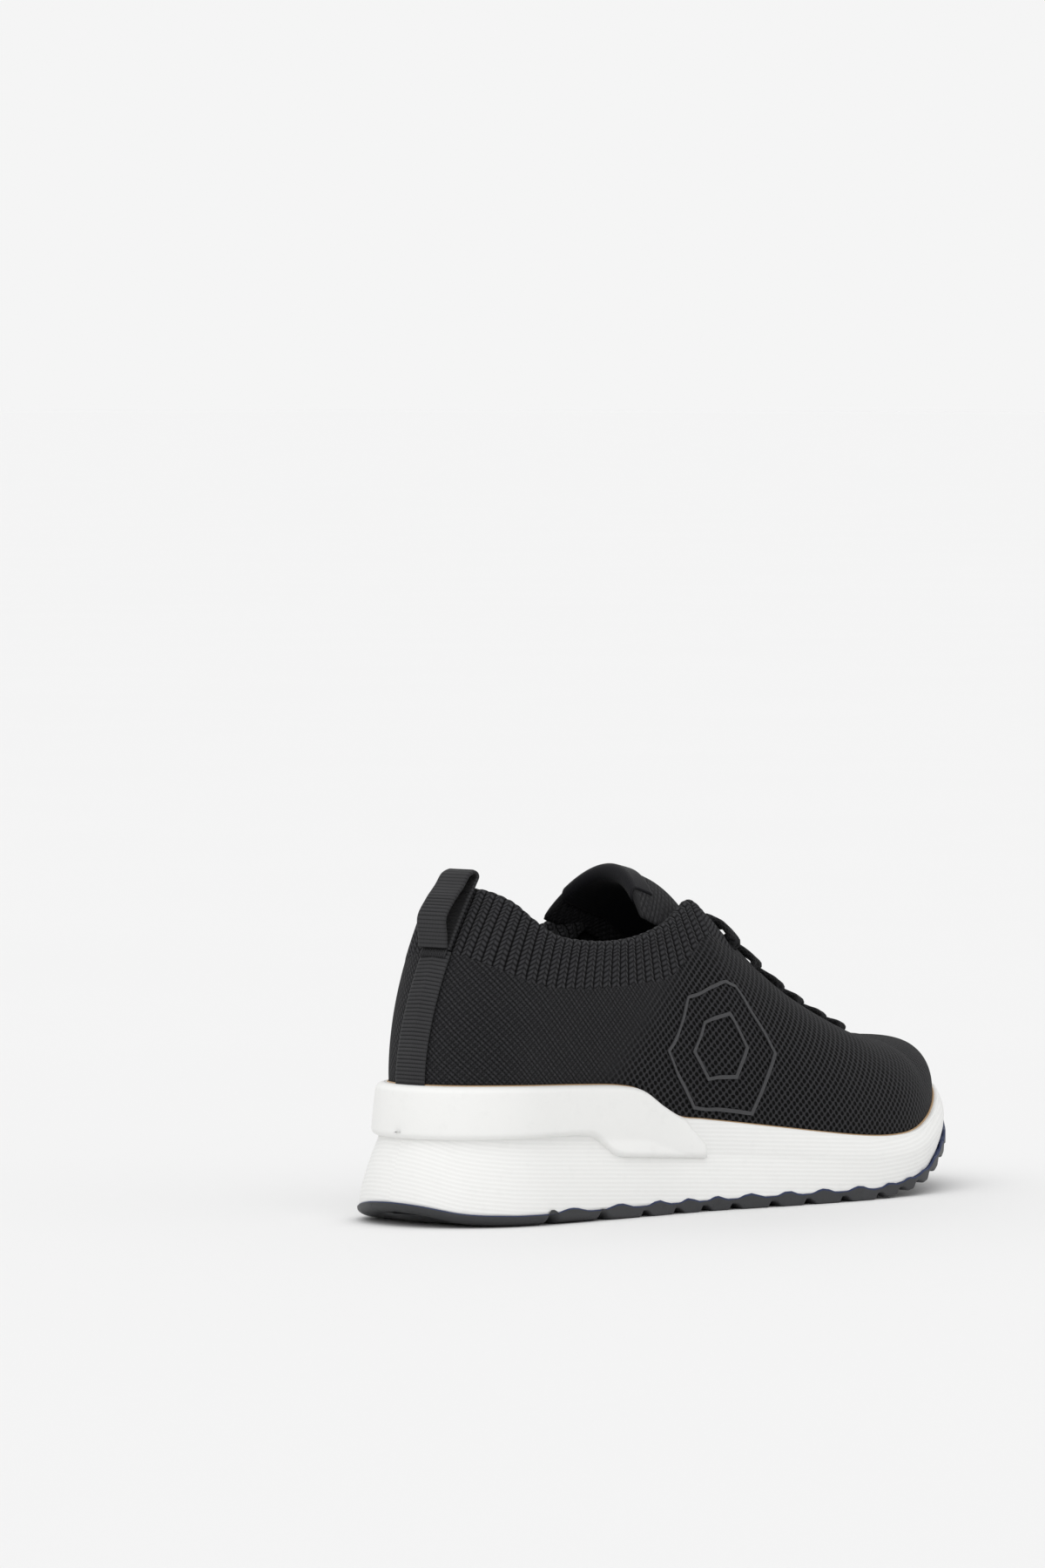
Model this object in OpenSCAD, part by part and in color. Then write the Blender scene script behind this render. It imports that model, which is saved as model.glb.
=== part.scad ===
// Knit running shoe, right foot. X runs toward the toe, Y toward the inner side, Z up.
// The origin is the middle of the sole's outline, on the ground.

/* [Overall] */
// Length of the sole from heel to toe
shoe_length = 285; // [240:1:345]
// Width of the sole across the ball of the foot
ball_width = 101; // [84:1:122]
// Width of the sole across the heel
heel_width = 78; // [64:1:94]
// Width of the sole at the waist
waist_width = 74; // [60:1:90]

/* [Sole unit] */
// Thickness of the rubber outsole
outsole_t = 4; // [3:0.5:5.5]
// Depth of the grooves between the outsole's lugs
groove_depth = 2.2; // [1:0.1:2.6]
// Width of each groove at the ground
groove_width = 7.5; // [4:0.5:9]
// Distance from one lug to the next where they are closest
lug_pitch = 13.6; // [11:0.1:15]
// Height of the toe's lower edge over the ground
toe_spring = 23; // [16:1:26]
// Height of the foam's side wall at the heel
heel_wall_h = 49; // [46:1:58]
// Height of the foam's side wall at the waist
waist_wall_h = 32.6; // [30:0.1:38]
// Height of the foam's side wall at the ball
ball_wall_h = 22.4; // [21:0.1:26]
// Height of the footbed under the heel
heel_bed_h = 33; // [27:1:36]
// Height of the footbed under the ball
ball_bed_h = 16.8; // [14:0.1:18]
// How far the heel flares out below the panel
heel_flare = 7; // [4:0.5:9]
// Width of the foam's rim outside the upper
rim_w = 1.8; // [1.2:0.1:3]
// Thickness of the raised heel panel
panel_t = 2.6; // [1.2:0.1:3]

/* [Upper] */
// Height of the collar at the back of the heel
collar_heel_h = 119; // [100:1:140]
// Height of the collar under the ankle bones
collar_side_h = 99; // [84:1:116]
// Height of the collar's front peaks, beside the first lace
collar_front_h = 112; // [98:1:130]
// Height of the ribbed band at the back of the heel
rib_heel_h = 23; // [18:1:28]
// Height of the ribbed band under the ankle bones
rib_side_h = 17; // [13:1:21]
// Height of the upper at the front end of the throat
vamp_h = 57.4; // [52:0.1:66]
// Height of the upper over the toes
toe_h = 51; // [47:1:58]
// Half width of the collar opening
collar_half_w = 30; // [26:0.5:36]
// Half width of the throat between the lace bands
throat_half_w = 15; // [12:0.5:19]
// Thickness of the knitted fabric
knit_t = 1.8; // [1.2:0.1:2.4]
// Thickness of the inner lining
lining_t = 0.8; // [0.5:0.1:1.2]
// Thickness of the foam in the collar
padding_t = 2.6; // [1.6:0.1:4]
// Thickness of the heel and toe stiffeners
stiffener_t = 1; // [0.6:0.1:1.4]
// Thickness of the board that closes the upper below
board_t = 1.6; // [1:0.1:2.4]
// Thickness of the insole's foam
sock_t = 3.6; // [2:0.2:5]
// Thickness of the cloth over the insole's foam
sock_cover_t = 0.8; // [0.5:0.1:1.2]

/* [Lacing] */
// Width of the lace
lace_w = 7; // [5:0.1:8.6]
// Thickness of the lace
lace_t = 2.6; // [1.6:0.1:3]
// How much wider each lace hole is than the lace
eyelet_play = 0.6; // [0.4:0.1:1.6]
// Distance of the lace holes from the throat's edge
eyelet_inset = 6.5; // [5:0.1:8]

/* [Tongue and heel loop] */
// Thickness of the tongue
tongue_t = 4.5; // [3:0.5:6]
// Gap between each side of the tongue and the collar's lining
tongue_play = 2.3; // [1.5:0.1:6]
// Thickness of the panel wrapped over the tongue's top
wrap_t = 0.8; // [0.5:0.1:1.2]
// Width of the heel webbing
tape_w = 14; // [10:0.5:18]
// Thickness of the heel webbing
tape_t = 1.4; // [1:0.1:2]
// How far the pull loop stands off the collar
loop_gap = 9; // [6:0.5:14]

/* [Hidden] */
charcoal = [0.16, 0.16, 0.17];
foam_white = [0.93, 0.93, 0.91];
lining_black = [0.08, 0.08, 0.09];
half_l = shoe_length / 2;
glue = 0.1;        // gap left for the cement between two pieces
ring_n = 64;       // stations round every outline
row_n = 12;        // rows of the upper's grid, bed to top edge
seam_row = 8;      // row of the seam under the rib collar and the lace bands
rim_row = 2;       // row where the upper leaves the sole
peak_col = 17;     // station where the rib collar ends beside the first lace
ridge_col = 25;    // station where the throat ends and the vamp closes
wall_n = 4;        // rows of the sole's side wall below and above the panel's lower edge
panel_col = 15;    // station where the heel panel ends
bars = 6;          // crossings of the lace
fabric_gap = 0.35; // gap kept round pieces that move
lace_gap = 0.3;    // gap between the lace and the fabric it lies on or under
print_gap = 0.3;   // gap left for the cement under the raised outline
hem_w = 2.4;       // fabric left between the lace's run and the seam below it
eyelet_d = lace_w + eyelet_play;

// ---- Smooth curves through stations ----
function rate(p, k) =
    let (a = p[max(k - 1, 0)], b = p[min(k + 1, len(p) - 1)]) (b[1] - a[1]) / (b[0] - a[0]);
function span(p, x, k = 0) = k >= len(p) - 2 || x < p[k + 1][0] ? k : span(p, x, k + 1);
function piece(p, x, k) =
    let (h = p[k + 1][0] - p[k][0], t = (x - p[k][0]) / h)
    (2 * t^3 - 3 * t^2 + 1) * p[k][1] + (t^3 - 2 * t^2 + t) * h * rate(p, k)
    + (3 * t^2 - 2 * t^3) * p[k + 1][1] + (t^3 - t^2) * h * rate(p, k + 1);
function curve(p, x) =
    x <= p[0][0] ? p[0][1] : x >= p[len(p) - 1][0] ? p[len(p) - 1][1] : piece(p, x, span(p, x));
function unit(v) = v / norm(v);
function mix(a, b, f) = a + (b - a) * f;

// ---- Outline of the sole ----
// Stations run from -1 at the heel to 1 at the toe, as a share of half the length.
half_width_line = [[-1, 0.474 * heel_width], [-0.737, heel_width / 2], [-0.4, waist_width / 2],
    [-0.133, waist_width / 2], [0.133, (waist_width + ball_width) / 4], [0.365, 0.49 * ball_width],
    [0.59, 0.505 * ball_width], [0.8, 0.475 * ball_width], [1, 0.416 * ball_width]];
centre_line = [for (p = [[-1, 0], [-0.737, 0], [-0.4, -0.025], [-0.133, -0.035], [0.133, -0.03],
    [0.365, -0.01], [0.6, 0.015], [0.8, 0.05], [1, 0.08]]) [p[0], p[1] * ball_width]];
heel_round = 0.31 * half_l;
toe_round = 0.45 * half_l;
function end_round(d, p) = pow(max(0, 1 - pow(max(0, d), p)), 1 / p);
function taper(x) =
    end_round((-half_l + heel_round - x) / heel_round, 2.15)
    * end_round((x - half_l + toe_round) / toe_round, 2.05);
// A turn t runs from 0 at the heel along the outer side to 0.5 at the toe and back.
function along(t) = t <= 0.5 ? 2 * t : 2 * (1 - t);
function hand(t) = t <= 0.5 ? -1 : 1;
function raw_plan(t) =
    let (x = -half_l * cos(180 * along(t)))
    [x, curve(centre_line, x / half_l) + hand(t) * curve(half_width_line, x / half_l) * taper(x)];
raw_y = [for (i = [0:ring_n - 1]) raw_plan(i / ring_n)[1]];
centre_shift = -(max(raw_y) + min(raw_y)) / 2;
function plan(t) = raw_plan(t) + [0, centre_shift];
function wrap(t) = t - floor(t);
function plan_normal(t) =
    let (d = plan(wrap(t + 0.002)) - plan(wrap(t - 0.002))) unit([d[1], -d[0]]);
function inset(t, by) = plan(t) - by * plan_normal(t);
function middle(x) = curve(centre_line, x / half_l) + centre_shift;

// ---- Heights along the sole ----
ground_line = [[-1, 4.5], [-0.926, 1.2], [-0.807, 0], [-0.8, 0], [0.4, 0], [0.42, 0],
    [0.547, 0.096 * toe_spring], [0.639, 0.23 * toe_spring], [0.716, 0.426 * toe_spring],
    [0.8, 0.622 * toe_spring], [0.863, 0.752 * toe_spring], [1, toe_spring]];
wall_line = [[-1, heel_wall_h + 0.5], [-0.765, heel_wall_h], [-0.49, heel_wall_h - 1.4],
    [-0.386, heel_wall_h - 2.4], [-0.316, heel_wall_h - 4.5], [-0.246, waist_wall_h + 5.9],
    [-0.182, waist_wall_h + 1.4], [-0.112, waist_wall_h],
    [0.112, mix(waist_wall_h, ball_wall_h, 0.42)], [0.35, ball_wall_h + 1.6], [0.5, ball_wall_h],
    [0.625, ball_wall_h + 0.04 * toe_spring], [0.744, ball_wall_h + 0.21 * toe_spring],
    [0.814, ball_wall_h + 0.36 * toe_spring], [0.87, ball_wall_h + 0.51 * toe_spring],
    [1, ball_wall_h + 0.72 * toe_spring]];
bed_line = [[-1, heel_bed_h], [-0.765, heel_bed_h], [-0.42, heel_bed_h - 1.5],
    [-0.14, mix(heel_bed_h, ball_bed_h, 0.45)], [0.112, mix(heel_bed_h, ball_bed_h, 0.76)],
    [0.35, ball_bed_h + 0.8], [0.526, ball_bed_h], [0.667, ball_bed_h + 0.07 * toe_spring],
    [0.807, ball_bed_h + 0.31 * toe_spring], [1, ball_bed_h + 0.66 * toe_spring]];
panel_line = [[-1, 30.5], [-0.53, 30.3], [-0.5, 29], [-0.432, 21.8], [-0.4, 20.7], [-0.133, 18.8],
    [0.2, 16], [1, 16]];
top_inset_line = [[-1, 9.5], [-0.4, 8.5], [0, 6.5], [0.3, 5], [0.7, 4], [1, 2.2]];
flare_line = [[-1, heel_flare], [-0.6, heel_flare], [-0.13, 0.7 * heel_flare], [0.35, 1.2], [1, 0]];
toe_tuck_line = [[-1, 0], [0.4, 0], [1, 2.5]];
function ground_z(x) = max(0, curve(ground_line, x / half_l));
function wall_z(x) = curve(wall_line, x / half_l);
function bed_z(x) = curve(bed_line, x / half_l);
function foam_z(x) = ground_z(x) + outsole_t + glue;
function top_inset(x) = curve(top_inset_line, x / half_l);
// Inset of the foam's side wall at share w of its height
function wall_inset(x, w) =
    let (f = curve(flare_line, x / half_l), tuck = curve(toe_tuck_line, x / half_l))
    0.5 + f * pow(min(w / 0.55, 1), 1.5) + tuck * pow(max(0, 1 - w / 0.5), 2)
    + (top_inset(x) - 0.5 - f) * pow(max(0, (w - 0.55) / 0.45), 1.5);
function split_z(x) =
    let (low = foam_z(x), high = wall_z(x))
    min(max(curve(panel_line, x / half_l), low + 0.3 * (high - low)), low + 0.7 * (high - low));
function wall_point(t, row, out = 0) =
    let (x = plan(t)[0], low = foam_z(x), high = wall_z(x), mid = split_z(x),
         z = row <= wall_n ? mix(low, mid, row / wall_n) : mix(mid, high, row / wall_n - 1),
         p = inset(t, wall_inset(x, (z - low) / (high - low)) - out))
    [p[0], p[1], z];
bed_inset = rim_w - glue;
function bed_point(t) =
    let (x = plan(t)[0], p = inset(t, top_inset(x) + bed_inset)) [p[0], p[1], bed_z(p[0])];

// ---- Surface of the upper ----
// Stations s run from 0 at the back of the heel to 1 at the tip of the toe.
top_x_line = [[0, -0.73], [0.05, -0.724], [0.1, -0.716], [0.15, -0.702], [0.2, -0.667],
    [0.25, -0.607], [0.3, -0.526], [0.35, -0.428], [0.4, -0.323], [0.45, -0.228], [0.48, -0.165],
    [0.5, -0.112], [0.52, -0.04], [0.55, 0.063], [0.6, 0.196], [0.65, 0.33], [0.7, 0.463],
    [0.73, 0.547], [0.76, 0.6], [0.78, 0.621], [0.84, 0.68], [0.9, 0.76], [0.95, 0.83],
    [1, 0.895]];
top_w_line = [for (p = [[0, 0], [0.05, 0.3], [0.1, 0.55], [0.15, 0.767], [0.2, 0.893],
    [0.25, 0.967], [0.3, 1], [0.35, 1], [0.4, 0.967], [0.45, 0.94], [0.48, 0.89], [0.5, 0.82]])
    [p[0], p[1] * collar_half_w]];
throat_w_line = [for (p = [[0.5, 1.64], [0.52, 1.42], [0.55, 1.187], [0.6, 1.087], [0.65, 1.02],
    [0.7, 0.973], [0.73, 0.907], [0.76, 0.6], [0.78, 0], [1, 0]])
    [p[0], p[1] * throat_half_w]];
top_z_line = [[0, collar_heel_h], [0.05, collar_heel_h - 0.8], [0.1, collar_heel_h - 2.8],
    [0.15, collar_heel_h - 6.2], [0.2, collar_side_h + 8.5], [0.25, collar_side_h + 3],
    [0.3, collar_side_h + 0.6], [0.35, collar_side_h - 0.2], [0.4, collar_side_h + 1.2],
    [0.45, collar_side_h + 5.2], [0.48, collar_front_h - 2.9], [0.5, collar_front_h],
    [0.52, collar_front_h - 5.2], [0.55, collar_front_h - 14.7], [0.6, vamp_h + 25],
    [0.65, vamp_h + 13.6], [0.7, vamp_h + 4.6], [0.73, vamp_h + 1.2], [0.76, vamp_h],
    [0.78, vamp_h - 0.2], [0.84, vamp_h - 1.2], [0.9, toe_h + 4.4], [0.95, toe_h + 2.6], [1, toe_h]];
fullness_line = [[0, 1], [0.6, 1], [0.8, 0.82], [1, 0.66]];
round_line = [[0, 0], [0.42, 0], [0.5, 0.25], [0.6, 0.6], [0.7, 0.9], [0.76, 1], [1, 1]];
bulge_line = [[0, 0], [0.15, 1], [0.3, 2.5], [0.6, 2], [0.8, 0], [1, 0]];
function top_edge(t) =
    let (s = along(t), x = half_l * curve(top_x_line, s),
         w = s < 0.5 ? curve(top_w_line, s) : s < 0.78 ? curve(throat_w_line, s) : 0)
    [x, middle(x) + hand(t) * w, curve(top_z_line, s)];
function foot_edge(t, z) = let (p = inset(t, top_inset(plan(t)[0]) + rim_w)) [p[0], p[1], z];
function rim_z(t) = wall_z(plan(t)[0]) + 0.4;
// The upper above the rim of the sole, from v = 0 at the rim to v = 1 at its top edge
function upper_point(t, v) =
    let (s = along(t), a = foot_edge(t, rim_z(t)), b = top_edge(t), r = curve(round_line, s),
         q = curve(fullness_line, s),
         h = mix(pow(v, 1.7), 1 - pow(cos(90 * v), q), r), k = mix(v, pow(sin(90 * v), q), r),
         n = plan_normal(t), g = curve(bulge_line, s) * sin(180 * v))
    [mix(a[0], b[0], h) + g * n[0], mix(a[1], b[1], h) + g * n[1], mix(a[2], b[2], k)];
// The lace bands take this share of the upper's height, or more where the lace's run needs it
band_share = 0.22;
function band_need(s) =
    (eyelet_inset + lace_w / 2 + hem_w)
    / norm(upper_point(s / 2, 1) - upper_point(s / 2, 1 - band_share));
function band_seam(s) = 1 - band_share * max(1, band_need(s));
seam_line = [[0, 1 - rib_heel_h / (collar_heel_h - heel_wall_h)],
    [0.15, 1 - 0.96 * rib_heel_h / (collar_heel_h - 6 - heel_wall_h)],
    [0.3, 1 - rib_side_h / (collar_side_h - heel_wall_h + 1)],
    [0.42, 1 - rib_side_h / (collar_side_h + 8 - heel_wall_h)], [0.5, band_seam(0.5) + 0.02],
    [0.55, band_seam(0.55)], [0.65, band_seam(0.65)], [0.75, band_seam(0.75)],
    [1, 1 - band_share]];
function grid_point(t, j) =
    let (seam = curve(seam_line, along(t)), bed = bed_z(foot_edge(t, 0)[0]) + glue)
    j <= rim_row ? foot_edge(t, mix(bed, rim_z(t), j / rim_row))
    : j <= seam_row ? upper_point(t, seam * (j - rim_row) / (seam_row - rim_row))
    : upper_point(t, mix(seam, 1, (j - seam_row) / (row_n - seam_row)));
grid = [for (i = [0:ring_n - 1]) [for (j = [0:row_n]) grid_point(i / ring_n, j)]];
function on_ridge(i, j) = j == row_n && i >= ridge_col && i <= ring_n - ridge_col;
function at(i, j) = grid[(i + ring_n) % ring_n][j];
function side_normal(i, j) =
    unit(cross(at(i + 1, j) - at(i - 1, j), at(i, min(j + 1, row_n)) - at(i, max(j - 1, 0))));
function normal_at(i, j) =
    on_ridge(i, j) ? unit(side_normal(i, j - 1) + side_normal(ring_n - i, j - 1))
    : side_normal(i, j);
normals = [for (i = [0:ring_n - 1]) [for (j = [0:row_n]) normal_at(i, j)]];
function layer_point(i, j, depth) = at(i, j) - depth * normals[(i + ring_n) % ring_n][j];

// ---- Layers inside the upper ----
padding_col = 13;
counter_col = 10;
counter_row = 6;
puff_col = 28;
puff_row = 7;
function to_toe(i) = let (k = (i + ring_n) % ring_n) min(k, ring_n - k);
function is_counter(i, j) = to_toe(i) <= counter_col && j <= counter_row;
function is_puff(i, j) = to_toe(i) >= puff_col && j <= puff_row;
function is_padding(i, j) = to_toe(i) <= padding_col && j >= counter_row && j < row_n;
function padding_at(i, j) =
    j == counter_row || j >= row_n - 1 || to_toe(i) == padding_col ? 0.4 : padding_t;
function filler(i, j) =
    max(is_counter(i, j) || is_puff(i, j) ? stiffener_t : 0, is_padding(i, j) ? padding_at(i, j) : 0);
inner_face = knit_t + glue;
function lining_depth(i, j) = inner_face + filler(i, j) + glue;

// ---- Solids from grids of points ----
function id(i, j, m) = i * (m + 1) + j;
function slab_faces(n, m) =
    let (k = (n + 1) * (m + 1))
    [for (i = [0:n - 1], j = [0:m - 1])
        let (a = id(i, j, m), b = id(i + 1, j, m), c = id(i + 1, j + 1, m), d = id(i, j + 1, m))
        each [[a, d, c], [a, c, b], [a + k, c + k, d + k], [a + k, b + k, c + k]],
     for (i = [0:n - 1])
        let (a = id(i, 0, m), b = id(i + 1, 0, m), c = id(i, m, m), d = id(i + 1, m, m))
        each [[a, b, b + k], [a, b + k, a + k], [c, d + k, d], [c, c + k, d + k]],
     for (j = [0:m - 1])
        let (a = id(0, j, m), b = id(0, j + 1, m), c = id(n, j, m), d = id(n, j + 1, m))
        each [[a, a + k, b + k], [a, b + k, b], [c, d + k, c + k], [c, d, d + k]]];
module slab(outer, inner) {
    points = [for (col = outer) each col, for (col = inner) each col];
    polyhedron(points, slab_faces(len(outer) - 1, len(outer[0]) - 1), convexity = 6);
}
function patch(i0, i1, j0, j1, depth) =
    [for (i = [i0:i1]) [for (j = [j0:j1]) layer_point(i, j, depth)]];
// A closed skin over the whole foot, with top(i) rows over each stretch of the outline
function skin_id(i, j) =
    let (k = i % ring_n) id(on_ridge(k, j) && k > ring_n / 2 ? ring_n - k : k, j, row_n);
function skin_faces(tops) =
    let (k = ring_n * (row_n + 1))
    [for (i = [0:ring_n - 1], j = [0:tops[i] - 1])
        let (a = skin_id(i, j), b = skin_id(i + 1, j), c = skin_id(i + 1, j + 1), d = skin_id(i, j + 1))
        each [[a, d, c], [a, c, b], [a + k, c + k, d + k], [a + k, b + k, c + k]],
     for (i = [0:ring_n - 1])
        let (a = skin_id(i, 0), b = skin_id(i + 1, 0))
        each [[a, b, b + k], [a, b + k, a + k]],
     for (i = [0:ring_n - 1])
        if (!(on_ridge(i, tops[i]) && on_ridge(i + 1, tops[i])))
        let (c = skin_id(i, tops[i]), d = skin_id(i + 1, tops[i]))
        each [[c, d + k, d], [c, c + k, d + k]],
     for (i = [0:ring_n - 1])
        let (left = tops[(i + ring_n - 1) % ring_n], right = tops[i])
        if (left != right)
        for (j = [min(left, right):max(left, right) - 1])
        let (a = skin_id(i, j), b = skin_id(i, j + 1))
        each left < right ? [[a, a + k, b + k], [a, b + k, b]] : [[a, b + k, a + k], [a, b, b + k]]];
module skin(outer, inner, tops) {
    points = [for (col = outer) each col, for (col = inner) each col];
    polyhedron(points, skin_faces(tops), convexity = 8);
}
// A solid of closed rings, closed by strips across its first and last ring
function ring_faces(n, levels) =
    [for (l = [0:levels - 2], i = [0:n - 1])
        let (a = l * n + i, b = l * n + (i + 1) % n, c = b + n, d = a + n)
        each [[a, d, c], [a, c, b]],
     for (i = [0:n / 2 - 1])
        let (a = i, b = i + 1, c = (n - i) % n, d = n - i - 1, k = (levels - 1) * n)
        each [if (i > 0) [a, d, c], if (b != d) [a, b, d],
              if (i > 0) [a + k, c + k, d + k], if (b != d) [a + k, d + k, b + k]]];
module rings(levels) {
    polyhedron([for (r = levels) each r], ring_faces(len(levels[0]), len(levels)), convexity = 6);
}

// ---- Sole unit ----
outline_half = [for (i = [0:ring_n / 2]) i / ring_n];
// Each groove's distance from the first one, in lug pitches
groove_steps = [0, 1.9, 3.5, 4.72, 5.74, 6.74, 8.02, 9.2, 10.46, 11.8, 12.68, 13.42, 14.14, 14.9, 15.7, 16.5];
first_groove_x = -0.69 * half_l;
groove_deep = 0.45;   // the share of a groove's half width from its middle back to its steep side
module along_profile(points) {
    rotate([90, 0, 0]) linear_extrude(2 * ball_width, center = true) polygon(points);
}
module outsole() {
    top = [for (t = outline_half) let (x = inset(t, 0.5)[0]) [x, ground_z(plan(t)[0]) + outsole_t]];
    heel_curve = [for (x = [-1.01, -0.975, -0.95, -0.926, -0.88, -0.84, -0.807])
        [x * half_l, ground_z(x * half_l)]];
    lugs = [for (step = groove_steps)
        let (x = first_groove_x + step * lug_pitch, a = groove_width / 2, b = groove_deep * a)
        if (x + a < 0.97 * half_l)
        each [[x - a, ground_z(x - a)], [x - b, ground_z(x - b) + groove_depth],
              [x, ground_z(x) + groove_depth], [x + a, ground_z(x + a)]]];
    tip = [[1.01 * half_l, toe_spring], [1.01 * half_l, toe_spring + outsole_t]];
    color(charcoal) intersection() {
        along_profile(concat(heel_curve, lugs, tip,
            [for (k = [len(top) - 1:-1:0]) top[k]], [[-1.01 * half_l, 4.5 + outsole_t]]));
        linear_extrude(heel_wall_h) polygon([for (i = [0:ring_n - 1]) plan(i / ring_n)]);
    }
}
module midsole() {
    wall = [for (row = [0:2 * wall_n]) [for (i = [0:ring_n - 1]) wall_point(i / ring_n, row)]];
    lip = [for (i = [0:ring_n - 1]) let (t = i / ring_n, p = bed_point(t))
        [p[0], p[1], wall_z(plan(t)[0])]];
    bed = [for (i = [0:ring_n - 1]) bed_point(i / ring_n)];
    color(foam_white) rings(concat(wall, [lip], [bed]));
}
function panel_edge(i, row) = abs(i) == panel_col || row == wall_n || row == 2 * wall_n;
module heel_panel() {
    outer = [for (i = [-panel_col:panel_col]) [for (row = [wall_n:2 * wall_n])
        wall_point(wrap(i / ring_n), row, glue + (panel_edge(i, row) ? 0.5 : panel_t))]];
    inner = [for (i = [-panel_col:panel_col]) [for (row = [wall_n:2 * wall_n])
        wall_point(wrap(i / ring_n), row, glue)]];
    color(foam_white) slab(outer, inner);
}
// A layer on the footbed, from height a to height b over it, held clear of the wall
bed_stations = [for (t = outline_half) let (p = bed_point(t)) [p[0], p[2]]];
function board_point(i) =
    let (p = layer_point(i, 0, lining_depth(i, 0) + lining_t + 2 * glue)) [p[0], p[1]];
module bed_layer(a, b) {
    low = [for (p = bed_stations) [p[0], p[1] + a]];
    high = [for (k = [len(bed_stations) - 1:-1:0]) bed_stations[k] + [0, b]];
    intersection() {
        along_profile(concat(low, high));
        linear_extrude(2 * heel_wall_h) polygon([for (i = [0:ring_n - 1]) board_point(i)]);
    }
}
module strobel_board() {
    color("tan") bed_layer(glue, glue + board_t);
}
sock_z = board_t + 2 * glue;
module sock_foam() {
    color("dimgray") bed_layer(sock_z, sock_z + sock_t);
}
module sock_cover() {
    color(lining_black) bed_layer(sock_z + sock_t + glue, sock_z + sock_t + glue + sock_cover_t);
}

// ---- Upper ----
function whole(depth) = [for (i = [0:ring_n - 1]) [for (j = [0:row_n]) layer_point(i, j, depth)]];
function in_vamp(i) = i >= ridge_col && i < ring_n - ridge_col;
function in_collar(i) = i < peak_col || i >= ring_n - peak_col;
module knit_upper() {
    tops = [for (i = [0:ring_n - 1]) in_vamp(i) ? row_n : seam_row];
    color(charcoal) skin(whole(0), whole(knit_t), tops);
}
module rib_collar() {
    color(charcoal) slab(patch(-peak_col, peak_col, seam_row, row_n, 0),
                         patch(-peak_col, peak_col, seam_row, row_n, knit_t));
}
module lining() {
    tops = [for (i = [0:ring_n - 1])
        in_vamp(i) || i < peak_col - 1 || i > ring_n - peak_col ? row_n : seam_row];
    outer = [for (i = [0:ring_n - 1]) [for (j = [0:row_n]) layer_point(i, j, lining_depth(i, j))]];
    inner = [for (i = [0:ring_n - 1]) [for (j = [0:row_n])
        layer_point(i, j, lining_depth(i, j) + lining_t)]];
    color(lining_black) skin(outer, inner, tops);
}
module filler_slab(i0, i1, j0, j1, counter) {
    inner = [for (i = [i0:i1]) [for (j = [j0:j1])
        layer_point(i, j, inner_face + (counter ? stiffener_t : padding_at(i, j)))]];
    slab(patch(i0, i1, j0, j1, inner_face), inner);
}
module collar_padding() {
    color("gray") filler_slab(-padding_col, padding_col, counter_row, row_n - 1, false);
}
module heel_counter() {
    color("lightgray") filler_slab(-counter_col, counter_col, 0, counter_row, true);
}
module toe_puff() {
    color("lightgray") filler_slab(puff_col, ring_n - puff_col, 0, puff_row, true);
}

// ---- Lacing ----
first_bar_s = 0.542;
last_bar_s = 0.708;
function bar_turn(k, side) =
    let (s = mix(first_bar_s, last_bar_s, k / (bars - 1))) side < 0 ? s / 2 : 1 - s / 2;
function surface_normal(t, v) =
    unit(cross(upper_point(t + 0.004, v) - upper_point(t - 0.004, v),
               upper_point(t, v) - upper_point(t, v - 0.02)));
function eyelet_v(t) =
    1 - 0.2 * eyelet_inset / norm(upper_point(t, 1) - upper_point(t, 0.8));
function eyelet(k, side) = let (t = bar_turn(k, side)) upper_point(t, eyelet_v(t));
function eyelet_normal(k, side) = let (t = bar_turn(k, side)) surface_normal(t, eyelet_v(t));
// Turns the Z axis to direction d
module aim(d) {
    rotate([0, acos(d[2]), atan2(d[1], d[0])]) children();
}
module lace_band(side) {
    i0 = side < 0 ? peak_col : ring_n - ridge_col;
    i1 = side < 0 ? ridge_col : ring_n - peak_col;
    difference() {
        slab(patch(i0, i1, seam_row, row_n, 0), patch(i0, i1, seam_row, row_n, knit_t));
        for (k = [0:bars - 1])
            translate(eyelet(k, side)) aim(eyelet_normal(k, side))
                cylinder(h = 6 * knit_t, d = eyelet_d, center = true, $fn = 16);
    }
}
module lace_band_lateral() {
    color(charcoal) lace_band(-1);
}
module lace_band_medial() {
    color(charcoal) lace_band(1);
}

// ---- Tongue ----
tongue_rows = 8;       // strips across the tongue
tongue_arch = 0.029;   // how fast the tongue's face falls away from its middle
tongue_end_x = 0.628 * half_l;
vamp_t = inner_face + lining_t;   // fabric over the tongue's sewn end
tongue_half_w = collar_half_w - vamp_t - tongue_play;
// Centre line of the tongue's outer face, as [x, z], from its sewn end to its top
tongue_line = concat(
    [[tongue_end_x, vamp_h - vamp_t - 4]],
    [for (p = [[0.755, -1.9 - vamp_t], [0.72, 1.2 - vamp_t], [0.68, 1], [0.64, 2], [0.6, 2],
               [0.56, 2], [0.53, 1.6]])
        [half_l * curve(top_x_line, p[0]), curve(top_z_line, p[0]) + p[1]]],
    [[-0.085 * half_l, collar_front_h + 4], [-0.155 * half_l, collar_front_h + 8.8],
     [-0.235 * half_l, collar_front_h + 11.8]]);
tongue_n = len(tongue_line) - 1;
tongue_width = [for (w = [0.32, 0.36, 0.52, 0.74, 0.84, 0.88, 0.9, 0.93, 0.98, 1, 0.92]) w * tongue_half_w];
function tongue_sweep(k) = 0.015 * max(0, k - tongue_n + 3) / 3;
function tongue_way(k) =
    unit(tongue_line[min(k + 1, tongue_n)] - tongue_line[max(k - 1, 0)]);
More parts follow.
